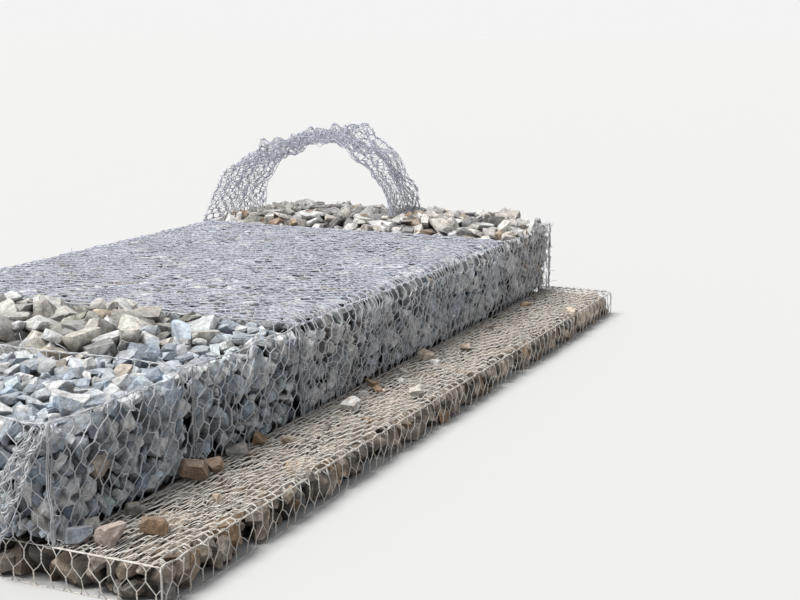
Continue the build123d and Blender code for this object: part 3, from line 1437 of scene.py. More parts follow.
def stone_piece(name: str, pile: StonePile, core: Skin, finish: StoneFinish, node: str) -> None:
    """Puts a filling's stones and the dark mass behind them, coloured near black as painted shade, into the scene,
    as one piece.

    Args:
        name: name of the piece.
        pile: the stones.
        core: the dark mass.
        finish: their material.
        node: the solid that they stand for.
    """
    stones, colours = pile.skin()
    # Painted shade: the mass stands in for the deeper stones and is coloured near black for the shade deep in the
    # filling.
    painted_core_shade = 0.05
    dark = np.full((len(core.points), 3), painted_core_shade)
    piece(name, Skin.joined([stones, core]), finish, [node], np.concatenate([colours, dark]))


UNDER_NET, LOWEST = 0.004, 0.001


@dataclass
class Bay:
    """One bay of the wall: its stones, front and back nets, and its lid.

    Attributes:
        number: place in the row, from the near end.
        state: how far its building has come.
        mix: gives the colours of its stones from their places.
        grade: sizes of its stones.
        forms: stones to draw from.
        last: number of the last bay.
        coarser: gives how much larger its stones are from their places.
        edge_radius: of the rounded edges under a lid.
        rim_sag: how far an open rim sags between the bay lines.
        rim_lean: how far an open rim strays inwards and outwards.
        shear: how far the front net's cells are pulled along the wall, from foot to rim.
        pull: how far the cells of an open bay's front net are pulled out of line.
        beyond: how far stones may swell beyond the room.
        heap_room: the same above the rim of a heaped bay.
        layers, more: thickness of the layer of stones, in middle radii and metres more.
        backing: how far that layer runs into the dark mass.
        drop, drop_reach: depth and width of that mass's dip beside a buried partition.
        laid_flat, painted_gap_shade: a pile's, under a lid; the second is the painted shade in its gaps.
    """

    number: int
    state: BayState
    mix: Mix
    grade: Grade
    forms: StoneForms
    last: int
    coarser: Surface | None = None
    edge_radius: float = 0.085
    rim_sag: float = 0.022
    rim_lean: float = 0.02
    shear: float = 0.0
    pull: float = 0.021
    beyond: float = 0.02
    heap_room: float = 0.11
    layers: float = 2.4
    more: float = 0.032
    backing: float = 0.022
    drop: float = 0.09
    drop_reach: float = 0.12
    laid_flat: float = 0.9
    painted_gap_shade: float = 0.78

    def __post_init__(self) -> None:
        """Reads the bay's room from the frame."""
        front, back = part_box(f"front_net_bay_{self.number}"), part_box(f"back_net_bay_{self.number}")
        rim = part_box(f"lid_net_bay_{self.number}")[1].z if self.lidded else front[1].z
        low, high = np.array(front[0]), np.array([front[1].x, back[1].y, rim])
        self.form = BasketForm(low, high, self.edge_radius if self.lidded else 0.0, seed=20 * self.number)
        self.heap = None
        if not self.lidded:
            self.heap = Heap.of(bpy.data.objects[f"stone_fill_bay_{self.number}"], seed=31 * self.number)

    @property
    def lidded(self) -> bool:
        """Whether a lid closes the bay."""
        return self.state is BayState.LIDDED

    def build(self) -> None:
        """Makes all of the bay's pieces."""
        self.stones()
        self.side_net(Side.FRONT)
        self.side_net(Side.BACK)
        if self.lidded:
            self.lid()

    def top(self, x: Array, y: Array) -> Array:
        """Height that the stones reach.

        Args:
            x, y: places.

        Returns:
            One height per place.
        """
        if self.heap:
            return self.heap.height(x, y)
        return self.form.high[2] - UNDER_NET + self.form.lid_swell(x, y)

    def stones(self) -> None:
        """Packs the stones."""
        form, first, last = self.form, self.number == 1, self.number == self.last
        faces, walls = form.sides(first, last)
        faces.insert(0, Face((0, 0, 1), lambda p: self.top(p[:, 0], p[:, 1]) - p[:, 2], flush=self.lidded))
        if self.heap:
            faces += self.shoulders()
        if self.lidded:
            walls += [self.rounding(side) for side in Side]
        swell = np.array([self.beyond, self.beyond, 0.0])
        room_low = form.low - swell * (first, 1, 0)
        room_high = form.high + swell * (last, 1, 0) + (0, 0, self.heap_room if self.heap else self.beyond)
        layer = self.layers * self.grade.middle + self.more
        filling = Filling(room_low, room_high, faces, walls, self.grade, self.coarser, layer, seed=self.number)
        inset = layer - self.backing
        core = rubble_core(*form.inner(first, last, inset), self.core_top, inset, self.number)
        pile = StonePile(self.forms, filling, self.mix)
        if self.lidded:
            # Under a lid the stones lie flatter and get less painted shade in their gaps.
            pile = replace(pile, laid_flat=self.laid_flat, painted_gap_shade=self.painted_gap_shade)
        stone_piece(f"stones_bay_{self.number}", pile, core, STONE, f"stone_fill_bay_{self.number}")

    def shoulders(self) -> list[Face]:
        """Sides of a heap that stand free above the rims of the neighbouring bays.

        Returns:
            Open sides, which are deep below the rim.
        """
        low, high, steep = self.form.low, self.form.high, 6
        near = Face((-1, 0, 0), lambda p: p[:, 0] - low[0] + steep * np.maximum(high[2] - p[:, 2], 0))
        far = Face((1, 0, 0), lambda p: high[0] - p[:, 0] + steep * np.maximum(high[2] - p[:, 2], 0))
        return [near] * (self.number != 1) + [far] * (self.number != self.last)

    def core_top(self, x: Array, y: Array) -> Array:
        """Height for the dark mass: that of the stones, but lower beside a partition that they bury.

        Args:
            x, y: places.

        Returns:
            One height per place.
        """
        drop = np.zeros_like(x)
        if self.heap:
            for end_number, plane in ((1, self.form.low[0]), (self.last, self.form.high[0])):
                if self.number != end_number:
                    drop = drop + self.drop * np.exp(-(((x - plane) / self.drop_reach) ** 2))
        return self.top(x, y) - drop

    def rounding(self, side: Side) -> Face:
        """The slope that keeps stones inside a rounded edge.

        Args:
            side: side of the edge.

        Returns:
            A closed side across it.
        """
        outward = np.array([0, side.value, 1]) / math.sqrt(2)
        plane = self.form.low[1] if side is Side.FRONT else self.form.high[1]
        corner = np.array([0, plane, self.form.high[2]])
        cut = self.form.edge_radius * (math.sqrt(2) - 1)
        return Face(tuple(outward), lambda p: (corner - p) @ outward - cut)

    def side_panel(self, side: Side) -> NetPanel:
        """Cuts out the front or back net.

        Args:
            side: which of them.

        Returns:
            The net's panel.
        """
        profile = self.form.profile(side)
        width = self.form.high[0] - self.form.low[0]
        wander = Ripple(self.form.seed + 5, 0.32)

        def draw(across: Array, along: Array, out: Array) -> Array:
            """Lays points of the flat net over the stones.

            Args:
                across, along, out: where they are in the flat net.

            Returns:
                Their places, one row each.
            """
            x = self.form.low[0] + across
            if side is Side.FRONT:
                x = x + self.shear * window(across / width, 0.7) * (along / profile.upright - 0.5)
            y, z, out_y, out_z = profile.place(along - profile.upright)
            swell = self.form.side_swell(x, z, side) * np.abs(out_y)
            if self.lidded:
                swell = swell + self.form.lid_swell(x, y) * out_z
            reach = swell + out + PLAIN_WEAVE.wire / 2
            y, z = y + out_y * reach, z + out_z * reach
            if self.number == 1 and side is Side.FRONT:
                y = y - self.form.corner_stray(z, across)
            if self.lidded:
                z = z + self.form.rim_rise(x, along - profile.upright)
            else:
                share = np.clip(along / profile.upright, 0, 1)
                middle = window(across / width, 0.6)
                strays = wander.at(x[:, None] + 30 * side.value)
                z = z - self.rim_sag * middle * share**4 * (1 + 0.6 * strays)
                y = y + side.value * self.rim_lean * middle * share**4 * (strays - 0.7)
            return np.stack([x, y, z], -1)

        seed = self.form.seed + (side is Side.BACK)
        if side is Side.BACK:
            return NetPanel(REAR_WEAVE, width, profile.upright, draw, seed=seed)
        if self.state in (BayState.LOW, BayState.TIPPED):
            return NetPanel(FACE_WEAVE, width, profile.upright, draw, drift=self.pull, seed=seed)
        return NetPanel(PLAIN_WEAVE, width, profile.upright, draw, layers=2, seed=seed)

    def side_net(self, side: Side) -> None:
        """Weaves the front or back net, and laces an open rim loosely.

        Args:
            side: which of them.
        """
        node, panel = f"{side.name.lower()}_net_bay_{self.number}", self.side_panel(side)
        parts = [panel.skin()]
        if not self.lidded:
            rim = panel.edge_lines("t")[0]
            parts.append(lace(rim, (0, side.value, 0), 0.005, 0.16, self.form.seed + 3))
            parts += loose_ends(rim[3:-3:5], (0, side.value, 0.8), self.form.seed + 4)
        piece(f"woven_{node}", Skin.joined(parts), MESH_WIRE, [node])

    def lid_panel(self) -> NetPanel:
        """Cuts out the lid's net, from the middle of the front edge to that of the back edge.

        Returns:
            The net's panel.
        """
        profiles = [self.form.profile(side) for side in Side]
        width = self.form.high[0] - self.form.low[0]
        straight = self.form.high[1] - self.form.low[1] - 2 * self.edge_radius
        depth = straight + 2 * profiles[0].arc

        def draw(across: Array, along: Array, out: Array) -> Array:
            """Lays points of the flat net over the stones.

            Args:
                across, along, out: where they are in the flat net.

            Returns:
                Their places, one row each.
            """
            x = self.form.low[0] + across
            ahead, behind = profiles[0].place(along), profiles[1].place(depth - along)
            first = along < depth / 2
            y, z, out_y, out_z = (np.where(first, one, other) for one, other in zip(ahead, behind))
            reach = self.form.lid_swell(x, y) * out_z + out + LID_WEAVE.wire / 2
            rise = self.form.rim_rise(x, np.minimum(along, depth - along))
            return np.stack([x, y + out_y * reach, z + out_z * reach + rise], -1)

        return NetPanel(LID_WEAVE, width, depth, draw, layers=2, seed=self.form.seed + 9)

    def lid(self) -> None:
        """Weaves the lid, and laces its edges to the nets below."""
        panel = self.lid_panel()
        parts = [panel.skin()]
        for index, line in enumerate(panel.edge_lines("btlr")):
            seed = self.form.seed + index
            parts.append(lace(line, (0, 0, 1), 0.006, 0.1, seed))
            parts += loose_ends(line[2:-2:9], (0, -0.3, 1), seed, 0.05)
        node = f"lid_net_bay_{self.number}"
        piece(f"woven_{node}", Skin.joined(parts), CLEAN_WIRE, [node])


@dataclass
class ArchedLid:
    """Lid net that is thrown back over its heaped bay and pushed up into a crumpled arch.

    Attributes:
        node: the solid that it stands for.
        fold: how far its folds stand in and out.
        gather: how far it is bunched sideways.
        slack: length of net for a length of arch.
        pleat, pleat_width: height of its pleats as a share of a fold's, and their width.
        set_back: how far it lies under the solid's surface, in folds.
        waist: how much narrower it is halfway.
        drift: how far its cells are pulled out of line.
        layers: nets that lie on each other.
        seed: picks the folds.
    """

    node: str
    fold: float = 0.05
    gather: float = 0.045
    slack: float = 1.16
    pleat: float = 0.35
    pleat_width: float = 0.19
    set_back: float = 1.15
    waist: float = 0.14
    drift: float = 0.024
    layers: int = 4
    seed: int = 41

    def __post_init__(self) -> None:
        """Reads the arch from its solid."""
        corners = np.array([vertex.co for vertex in bpy.data.objects[self.node].data.vertices])
        low, high = corners.min(0), corners.max(0)
        foot = corners[corners[:, 1] < low[1] + NEARBY]
        hinge = corners[corners[:, 1] > high[1] - NEARBY]
        crest = corners[corners[:, 2] > high[2] - LEVEL][:, 1].mean()
        self.middle = (low[0] + high[0]) / 2
        self.widths = (hinge[:, 0].max() - hinge[:, 0].min(), foot[:, 0].max() - foot[:, 0].min())
        angle = np.linspace(0, math.pi / 2, 60)
        rear_y = crest + (high[1] - crest) * np.cos(angle)
        rear_z = low[2] + (high[2] - low[2]) * np.sin(angle)
        fore_y = crest - (crest - low[1]) * np.sin(angle)
        fore_z = foot[:, 2].min() + (high[2] - foot[:, 2].min()) * np.cos(angle)
        self.line = np.stack([np.append(rear_y, fore_y[1:]), np.append(rear_z, fore_z[1:])], -1)
        steps = np.linalg.norm(np.diff(self.line, axis=0), axis=1)
        self.runs = np.append(0, np.cumsum(steps))

    def build(self) -> None:
        """Weaves the crumpled net."""
        width, length = self.widths[0], self.runs[-1]
        slope = np.gradient(self.line, self.runs, axis=0)
        folds, creases, sideways = (Ripple(self.seed + n, size) for n, size in enumerate((0.42, 0.15, 0.5)))

        def draw(across: Array, along: Array, out: Array) -> Array:
            """Lays points of the flat net over the arch.

            Args:
                across, along, out: where they are in the flat net.

            Returns:
                Their places, one row each.
            """
            run = along / self.slack
            y, z = (np.interp(run, self.runs, self.line[:, axis]) for axis in (0, 1))
            slope_y, slope_z = (np.interp(run, self.runs, slope[:, axis]) for axis in (0, 1))
            share = np.clip(run / length, 0, 1)
            place = np.stack([across, along], -1)
            held = window(share, 0.55)
            pleats = self.pleat * np.cos(2 * np.pi * (across + 0.05 * sideways.at(place)) / self.pleat_width)
            lift = self.fold * held * (folds.at(place) + 0.4 * creases.at(place) + pleats - self.set_back) + out
            narrow = self.widths[0] + (self.widths[1] - self.widths[0]) * share**0.8
            x = self.middle + (across / width - 0.5) * narrow * (1 - self.waist * held)
            x = x + self.gather * held * sideways.at(place[:, ::-1])
            return np.stack([x, y + slope_z * lift, z - slope_y * lift], -1)

        panel = NetPanel(
            VEIL_WEAVE, width, length * self.slack, draw, drift=self.drift, layers=self.layers, seed=self.seed
        )
        parts = [panel.skin(), lace(panel.edge_lines("b")[0], (0, 1, 0), 0.006, 0.11, self.seed)]
        parts += loose_ends(panel.edge_lines("t")[0][::6], (0, -1, 0.4), self.seed, 0.08)
        piece(f"woven_{self.node}", Skin.joined(parts), CLEAN_WIRE, [self.node])


@dataclass
class CrossNet:
    """A net across the wall: an end of it, or the top strip of a partition that shows.

    Attributes:
        node: the solid that it stands for.
        form: form of a bay beside it.
        outward: the way an end looks along x, or 0 for a partition.
        covered: whether lids on both sides hide a partition.
        strip, hidden_strip: height of net that shows at a partition, or that lids cover.
        shy, hidden_shy: how far its ends stay behind the nets, or behind the lids' rounded edges.
        below: how far a hidden one lies below the lids.
        edge_wire: thickness of the wire along it.
        sag: how far its free edge sags.
        stray: how far its free edge strays.
        seed: picks the waves.
    """

    node: str
    form: BasketForm
    outward: int = 0
    covered: bool = False
    strip: float = 0.143
    hidden_strip: float = 0.03
    shy: float = 0.002
    hidden_shy: float = 0.075
    below: float = 0.006
    edge_wire: float = 0.0048
    sag: float = 0.016
    stray: float = 0.02
    seed: int = 5

    def build(self) -> None:
        """Weaves the net."""
        low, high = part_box(self.node)
        shy = self.hidden_shy if self.covered else self.shy
        front, back = self.form.low[1] + shy, self.form.high[1] - shy
        height = high.z - low.z if self.outward else (self.hidden_strip if self.covered else self.strip)
        foot = high.z - height - self.below * self.covered
        plane = {0: (low.x + high.x) / 2, -1: low.x, 1: high.x}[self.outward]
        waves = Ripple(self.seed, 0.45)

        def draw(across: Array, along: Array, out: Array) -> Array:
            """Stands points of the flat net up in the wall.

            Args:
                across, along, out: where they are in the flat net.

            Returns:
                Their places, one row each.
            """
            y, z = front + across, foot + along
            reach = out
            if self.outward:
                reach = reach + self.form.end_swell(y, z) + PLAIN_WEAVE.wire / 2
            share, middle = np.clip(along / height, 0, 1), window(across / (back - front), 0.3)
            free = 0.0 if self.covered else share**3 * middle
            z = z + free * self.sag * (0.7 * waves.at(y[:, None]) - 0.5)
            x = plane + (self.outward or 1) * reach + free * self.stray * waves.at(y[:, None] + 50)
            if self.outward < 0:
                y = y - self.form.corner_stray(z, across)
            return np.stack([x, y, z], -1)

        edges = "lrbt" if self.outward else "t"
        weave = PLAIN_WEAVE if self.outward < 1 else REAR_WEAVE
        panel = NetPanel(weave, back - front, height, draw, edges, seed=self.seed)
        rim = panel.edge_lines("t")[0]
        if self.covered:
            parts = [swept(rim, self.edge_wire / 2)]
        else:
            parts = [panel.skin(), lace(rim, (0, 0, 1), 0.0055, 0.15, self.seed)]
            parts += loose_ends(rim[4:-4:9], (self.outward, 0, 1), self.seed)
        piece(f"woven_{self.node}", Skin.joined(parts), MESH_WIRE, [self.node])


@dataclass
class CornerLacing:
    """Seam at a bay line: two edge wires side by side and the lacing wires wound round them.

    Attributes:
        number: place in the row, from the near end.
        spacing: distance between the edge wires.
        wire: thickness of an edge wire.
        lace: thickness of a lacing wire.
        turns: length of a turn of each lacing wire.
        stray: how far the edge wires stray from the plumb line, along the wall.
        stray_out: the same out of the wall.
    """

    number: int
    spacing: float = 0.009
    wire: float = 0.0046
    lace: float = 0.0032
    turns: tuple[float, float] = (0.055, 0.11)
    stray: float = 0.008
    stray_out: float = 0.006

    def build(self) -> None:
        """Lays the wires and winds the lacing."""
        node = f"corner_lacing_{self.number}"
        low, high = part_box(node)
        inside, points = 0.002, 30
        middle_x, middle_y = (low.x + high.x) / 2, (low.y + high.y) / 2 + inside
        height = np.linspace(low.z, high.z - inside, points)
        hold = window((height - low.z) / (high.z - low.z), 0.5)
        parts = []
        for index, side in enumerate((-0.5, 0.5)):
            wave = Ripple(60 + 3 * self.number + index, 0.2).at(height[:, None])
            x = middle_x + side * self.spacing + self.stray * hold * wave
            y = middle_y - self.stray_out * hold * Ripple(160 + 3 * self.number + index, 0.25).at(height[:, None])
            parts.append(swept(np.stack([x, y, height], -1), self.wire / 2))
        middle = np.stack(np.broadcast_arrays(middle_x, middle_y, height), -1)
        for turn, step in enumerate(self.turns):
            path = coil(middle, (0, -1, 0), 0.0085 + 0.003 * turn, step, 80 + 3 * self.number + turn)
            parts.append(swept(path, self.lace / 2, LACE_SIDES))
        parts += loose_ends(middle[2::6], (0, -1, 0), 70 + self.number, 0.07)
        piece(f"laced_corner_{self.number}", Skin.joined(parts), EDGE_WIRE, [node])


@dataclass
class GatheredFlap:
    """Spare strip of netting that hangs from the near front corner, bunched into braids.

    Attributes:
        top, foot: where it starts and ends.
        width: of the strip before it is bunched.
        bunched: share of that width which is left.
        pleat, pleat_width: depth and width of its pleats.
        slack: length of net for a length of fall.
        braids: number of braids.
        apart: distance between two braids.
        belly: how far it swings out halfway down.
        wire: thickness of a wire.
        turns: length of a turn of each of a braid's wires.
        seed: picks its waves.
    """

    top: Array
    foot: Array
    width: float = 0.3
    bunched: float = 0.3
    pleat: float = 0.012
    pleat_width: float = 0.06
    slack: float = 1.06
    braids: int = 3
    apart: float = 0.026
    belly: float = 0.03
    wire: float = 0.005
    turns: tuple[float, ...] = (0.07, 0.08, 0.1)
    seed: int = 15

    def __post_init__(self) -> None:
        """Works out the fall of the strip and the direction across it."""
        fall = self.foot - self.top
        self.length = float(np.linalg.norm(fall))
        self.fall = fall / self.length
        beside = np.cross(self.fall, (1.0, 0, 0))
        self.beside = beside / np.linalg.norm(beside)

    def build(self) -> None:
        """Weaves and bunches the strip."""
        parts = [self.strip()]
        for index in range(self.braids):
            parts += self.braid((index - (self.braids - 1) / 2) * self.apart, self.seed + 10 * index)
        low_ends = self.foot + np.outer((-0.04, -0.01, 0.02, 0.05), self.beside)
        high_ends = self.top + np.outer((-0.02, 0, 0.03), self.beside)
        parts += loose_ends(low_ends, (-0.4, 0.3, -0.6), self.seed)
        parts += loose_ends(high_ends, (-0.4, 0, 0.8), self.seed + 1, 0.06)
        piece("gathered_flap_near_corner", Skin.joined(parts), MESH_WIRE, [])

    def strip(self) -> Skin:
        """Weaves the pleated net between the braids.

        Returns:
            Its skin.
        """
        waves = Ripple(self.seed, 0.3)

        def draw(across: Array, along: Array, out: Array) -> Array:
            """Hangs points of the flat strip.

            Args:
                across, along, out: where they are in the flat net.

            Returns:
                Their places, one row each.
            """
            share = np.clip(along / (self.length * self.slack), 0, 1)
            pleats = np.cos(2 * np.pi * (across / self.pleat_width + 0.4 * waves.at(along[:, None])))
            proud = 0.016 + self.pleat * pleats + self.belly * window(share, 0.8) + out
            sideways = (across - self.width / 2) * self.bunched * (0.55 + 0.6 * window(share, 0.7))
            sideways = sideways + 0.02 * window(share, 1) * waves.at(along[:, None] + 9)
            place = self.top + (share * self.length)[:, None] * self.fall + sideways[:, None] * self.beside
            return place - proud[:, None] * np.array([1.0, 0, 0])

        size = (self.width, self.length * self.slack)
        return NetPanel(PLAIN_WEAVE, *size, draw, "lrt", drift=0.012, layers=2, seed=self.seed).skin()

    def braid(self, offset: float, seed: int) -> list[Skin]:
        """Wires wound round each other into one braid.

        Args:
            offset: how far it hangs beside the strip's middle.
            seed: picks how it strays.

        Returns:
            Its wires.
        """
        points = 46
        share = np.linspace(0, 1, points)
        strays = offset * (0.5 + 0.9 * window(share, 0.6)) + 0.012 * Ripple(seed, 0.3).at(share[:, None])
        proud = 0.03 + self.belly * window(share, 0.8) + 0.008 * Ripple(seed + 1, 0.22).at(share[:, None])
        line = self.top + np.outer(share * self.length, self.fall) + np.outer(strays, self.beside)
        line = line - np.outer(proud, (1.0, 0, 0))
        wires = []
        for turn, step in enumerate(self.turns):
            path = coil(line, (-1, 0, 0), 0.0055 + 0.0015 * turn, step, seed + turn)
            wires.append(swept(path, self.wire / 2, LACE_SIDES))
        return wires


@dataclass
class MattressUnit:
    """One stone-filled unit of the apron: its stones, basket sides and the lid over its toe.

    Attributes:
        number: place along the wall.
        last: number of the last unit.
        wall_front: where the wall's face stands.
        forms: stones to draw from.
        edge_radius: of the rounded edge at the toe.
        tuck: how far the lid's net runs on under the wall.
        layer: thickness of the layer of stones.
        inset: how far the dark mass stays behind the nets.
        toe_drop, wall_drop: how far it stays under the lid and under the wall.
    """

    number: int
    last: int
    wall_front: float
    forms: StoneForms
    edge_radius: float = 0.035
    tuck: float = 0.05
    layer: float = 0.12
    inset: float = 0.1
    toe_drop: float = 0.12
    wall_drop: float = 0.02

    def __post_init__(self) -> None:
        """Reads the unit's room from the frame."""
        basket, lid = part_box(f"apron_basket_{self.number}"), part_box(f"apron_lid_net_{self.number}")
        low, high = np.array(basket[0]), np.array([basket[1].x, basket[1].y, lid[1].z])
        seed = 300 + 20 * self.number
        self.form = BasketForm(low, high, self.edge_radius, bulge=0.012, slack=0.004, seed=seed, lid_slack=0.007)

    def build(self) -> None:
        """Makes the unit's stones and nets."""
        self.stones()
        self.toe_lid()
        self.basket()

    def depth_below_lid(self, places: Array) -> Array:
        """Depth under the toe's lid, and more under the wall, where no lid is."""
        level = self.form.high[2] - UNDER_NET + self.form.lid_swell(places[:, 0], places[:, 1])
        return level - places[:, 2] + np.maximum(places[:, 1] - self.wall_front - self.tuck, 0)

    def core_top(self, x: Array, y: Array) -> Array:
        """Height of the dark mass, low under the toe."""
        toe = y < self.wall_front + 2 * self.tuck
        return np.where(toe, self.form.high[2] - self.toe_drop, self.form.high[2] - self.wall_drop)

    def stones(self) -> None:
        """Packs the stones along the toe, the back and the free ends."""
        form, number = self.form, self.number
        first, last = number == 1, number == self.last
        cover_at, lifted = form.high[2] - 0.003, 0.004
        faces, walls = form.sides(first, last)
        faces.insert(0, Face((0, 0, 1), self.depth_below_lid))
        walls.insert(0, Face((0, 0, 1), lambda p: cover_at - p[:, 2]))
        filling = Filling(form.low, form.high, faces, walls, MATTRESS_GRADE, layer=self.layer, seed=40 + number)
        core_low, core_high = form.inner(first, last, self.inset)
        core = rubble_core(core_low + (0, 0, lifted), core_high, self.core_top, 0.0, 50 + number)
        pile = StonePile(self.forms, filling, lambda rng, places: SOILED.pick(rng, len(places)))
        node = f"apron_stone_fill_{number}"
        stone_piece(f"stones_apron_{number}", pile, core, SOILED_STONE, node)

    def toe_lid(self) -> None:
        """Weaves the lid over the toe, from the rounded edge to under the wall."""
        form, profile = self.form, self.form.profile(Side.FRONT)
        width = form.high[0] - form.low[0]
        depth = self.wall_front + self.tuck - form.low[1] - form.edge_radius + profile.arc

        def draw(across: Array, along: Array, out: Array) -> Array:
            """Lays points of the flat net over the toe.

            Args:
                across, along, out: where they are in the flat net.

            Returns:
                Their places, one row each.
            """
            x = form.low[0] + across
            y, z, out_y, out_z = profile.place(along)
            under = np.clip((y - self.wall_front + 0.03) / 0.04, 0, 1)
            reach = form.lid_swell(x, y) * out_z * (1 - under) + out * (1 - under)
            reach = reach + (1 - 2 * under) * PULLED_WEAVE.wire / 2
            return np.stack([x, y + out_y * reach, z + out_z * reach], -1)

        panel = NetPanel(PULLED_WEAVE, width, depth, draw, "lrb", layers=3, seed=form.seed + 9)
        parts = [panel.skin()]
        for index, line in enumerate(panel.edge_lines("blr" if self.number < self.last else "bl")):
            parts.append(lace(line, (0, 0, 1), 0.0058, 0.09, form.seed + index))
        nodes = [f"apron_lid_net_{self.number}"]
        piece(f"woven_toe_lid_{self.number}", Skin.joined(parts), SOILED_WIRE, nodes)

    def side_panel(self, side: Side) -> NetPanel:
        """Cuts out the front or back net.

        Args:
            side: which of them.

        Returns:
            The net's panel.
        """
        form = self.form
        plane, radius = (form.low[1], form.edge_radius) if side is Side.FRONT else (form.high[1], 0.0)
        profile = Profile(plane, form.low[2], form.high[2], radius, side)

        def draw(across: Array, along: Array, out: Array) -> Array:
            """Lays points of the flat net over the stones.

            Args:
                across, along, out: where they are in the flat net.

            Returns:
                Their places, one row each.
            """
            x = form.low[0] + across
            y, z, out_y, out_z = profile.place(along - profile.upright)
            reach = form.side_swell(x, z, side) * np.abs(out_y) + out + PLAIN_WEAVE.wire / 2
            return np.stack([x, y + out_y * reach, np.maximum(z + out_z * reach, LOWEST)], -1)

        weave = PLAIN_WEAVE if side is Side.FRONT else REAR_WEAVE
        return NetPanel(weave, form.high[0] - form.low[0], profile.upright, draw, seed=form.seed + 2)

    def end_panel(self, outward: int) -> NetPanel:
        """Cuts out the net at a free end.

        Args:
            outward: the way it looks along x.

        Returns:
            The net's panel.
        """
        form = self.form
        depth, height = form.high[1] - form.low[1], form.high[2] - form.low[2]
        plane = form.low[0] if outward < 0 else form.high[0]

        def draw(across: Array, along: Array, out: Array) -> Array:
            """Lays points of the flat net over the stones.

            Args:
                across, along, out: where they are in the flat net.

            Returns:
                Their places, one row each.
            """
            y, z = form.low[1] + across, form.low[2] + along
            reach = form.end_swell(y, z) + out + PLAIN_WEAVE.wire / 2
            return np.stack([plane + outward * reach, y, np.maximum(z, LOWEST)], -1)

        return NetPanel(PLAIN_WEAVE, depth, height, draw, seed=form.seed + 3)

    def basket(self) -> None:
        """Weaves the front and back sides, and the end of an outer unit."""
        panels = [self.side_panel(side) for side in Side]
        panels += [self.end_panel(-1)] * (self.number == 1) + [self.end_panel(1)] * (self.number == self.last)
        skin, node = Skin.joined([panel.skin() for panel in panels]), f"apron_basket_{self.number}"
        piece(f"woven_{node}", skin, SOILED_WIRE, [node])


@dataclass(frozen=True)
class LooseStone:
    """A stone that lies loose at the wall's foot.

    Attributes:
        x, y: where it lies.
        radius: its mean radius.
        shade: its colour.
    """

    x: float
    y: float
    radius: float
    shade: Colour


NOTED_STONES = (
    LooseStone(-2.90, -1.19, 0.050, linear(214, 198, 190)),
    LooseStone(-2.94, -1.08, 0.042, linear(150, 158, 168)),
    LooseStone(-2.84, -1.06, 0.034, linear(196, 194, 190)),
    LooseStone(-2.72, -1.28, 0.048, linear(150, 124, 100)),
    LooseStone(-2.10, -1.07, 0.052, linear(160, 136, 118)),
    LooseStone(-1.98, -1.09, 0.036, linear(176, 150, 130)),
    LooseStone(-1.72, -1.05, 0.040, linear(160, 160, 158)),
    LooseStone(0.40, -1.09, 0.040, linear(196, 182, 166)),
)


@dataclass
class ToeStones:
    """Stones that lie loose on the apron at the wall's foot.

    Attributes:
        forms: stones to draw from.
        near_end, far_end: ends of the apron along the wall.
        front, back: front of the apron and face of the wall.
        level: height of the apron's top.
        count: how many small ones there are besides the noted ones.
        margin: how far they stay from the apron's ends and the wall.
        pale: share of them that are pale.
        above: how far they lie above the apron's level, on its net.
        seed: picks them.
    """

    forms: StoneForms
    near_end: float
    far_end: float
    front: float
    back: float
    level: float
    count: int = 26
    margin: float = 0.05
    pale: float = 0.4
    above: float = 0.004
    seed: int = 77

    def build(self) -> None:
        """Strews the stones, more of them near the open bays."""
        rng = np.random.default_rng(self.seed)
        stones = list(NOTED_STONES)
        for _ in range(self.count):
            radius = float(PEBBLE_GRADE.draw(rng, 1)[0])
            length = self.far_end - self.near_end - 2 * self.margin
            x = self.near_end + self.margin + length * rng.beta(0.9, 1.5)
            y = self.back - self.margin - radius - (self.back - self.front - 3 * self.margin) * rng.beta(0.8, 2.6)
            shade = (PALE_DUSTY if rng.random() < self.pale else SOILED).pick(rng, 1)[0]
            stones.append(LooseStone(x, y, radius, tuple(shade)))
        parts, colours = [], []
        for stone in stones:
            form = self.forms.pick(rng, True)
            points = form.points @ turned(rng, np.array([0, 0, 1.0]), True) * stone.radius
            points = points + (stone.x, stone.y, self.level - points[:, 2].min() + self.above)
            parts.append(Skin(points, form.faces))
            colours.append(np.broadcast_to(stone.shade, (len(points), 3)))
        skin, shades = Skin.joined(parts), np.concatenate(colours)
        piece("loose_stones_on_apron", skin, SOILED_STONE, [], shades)


MIXES = {BayState.LOW: BLUE_GREY, BayState.LIDDED: MIXED_GREY, BayState.HEAPED: WARM_HEAP}
GRADES = {BayState.LOW: FINE_GRADE, BayState.TIPPED: FINE_GRADE}


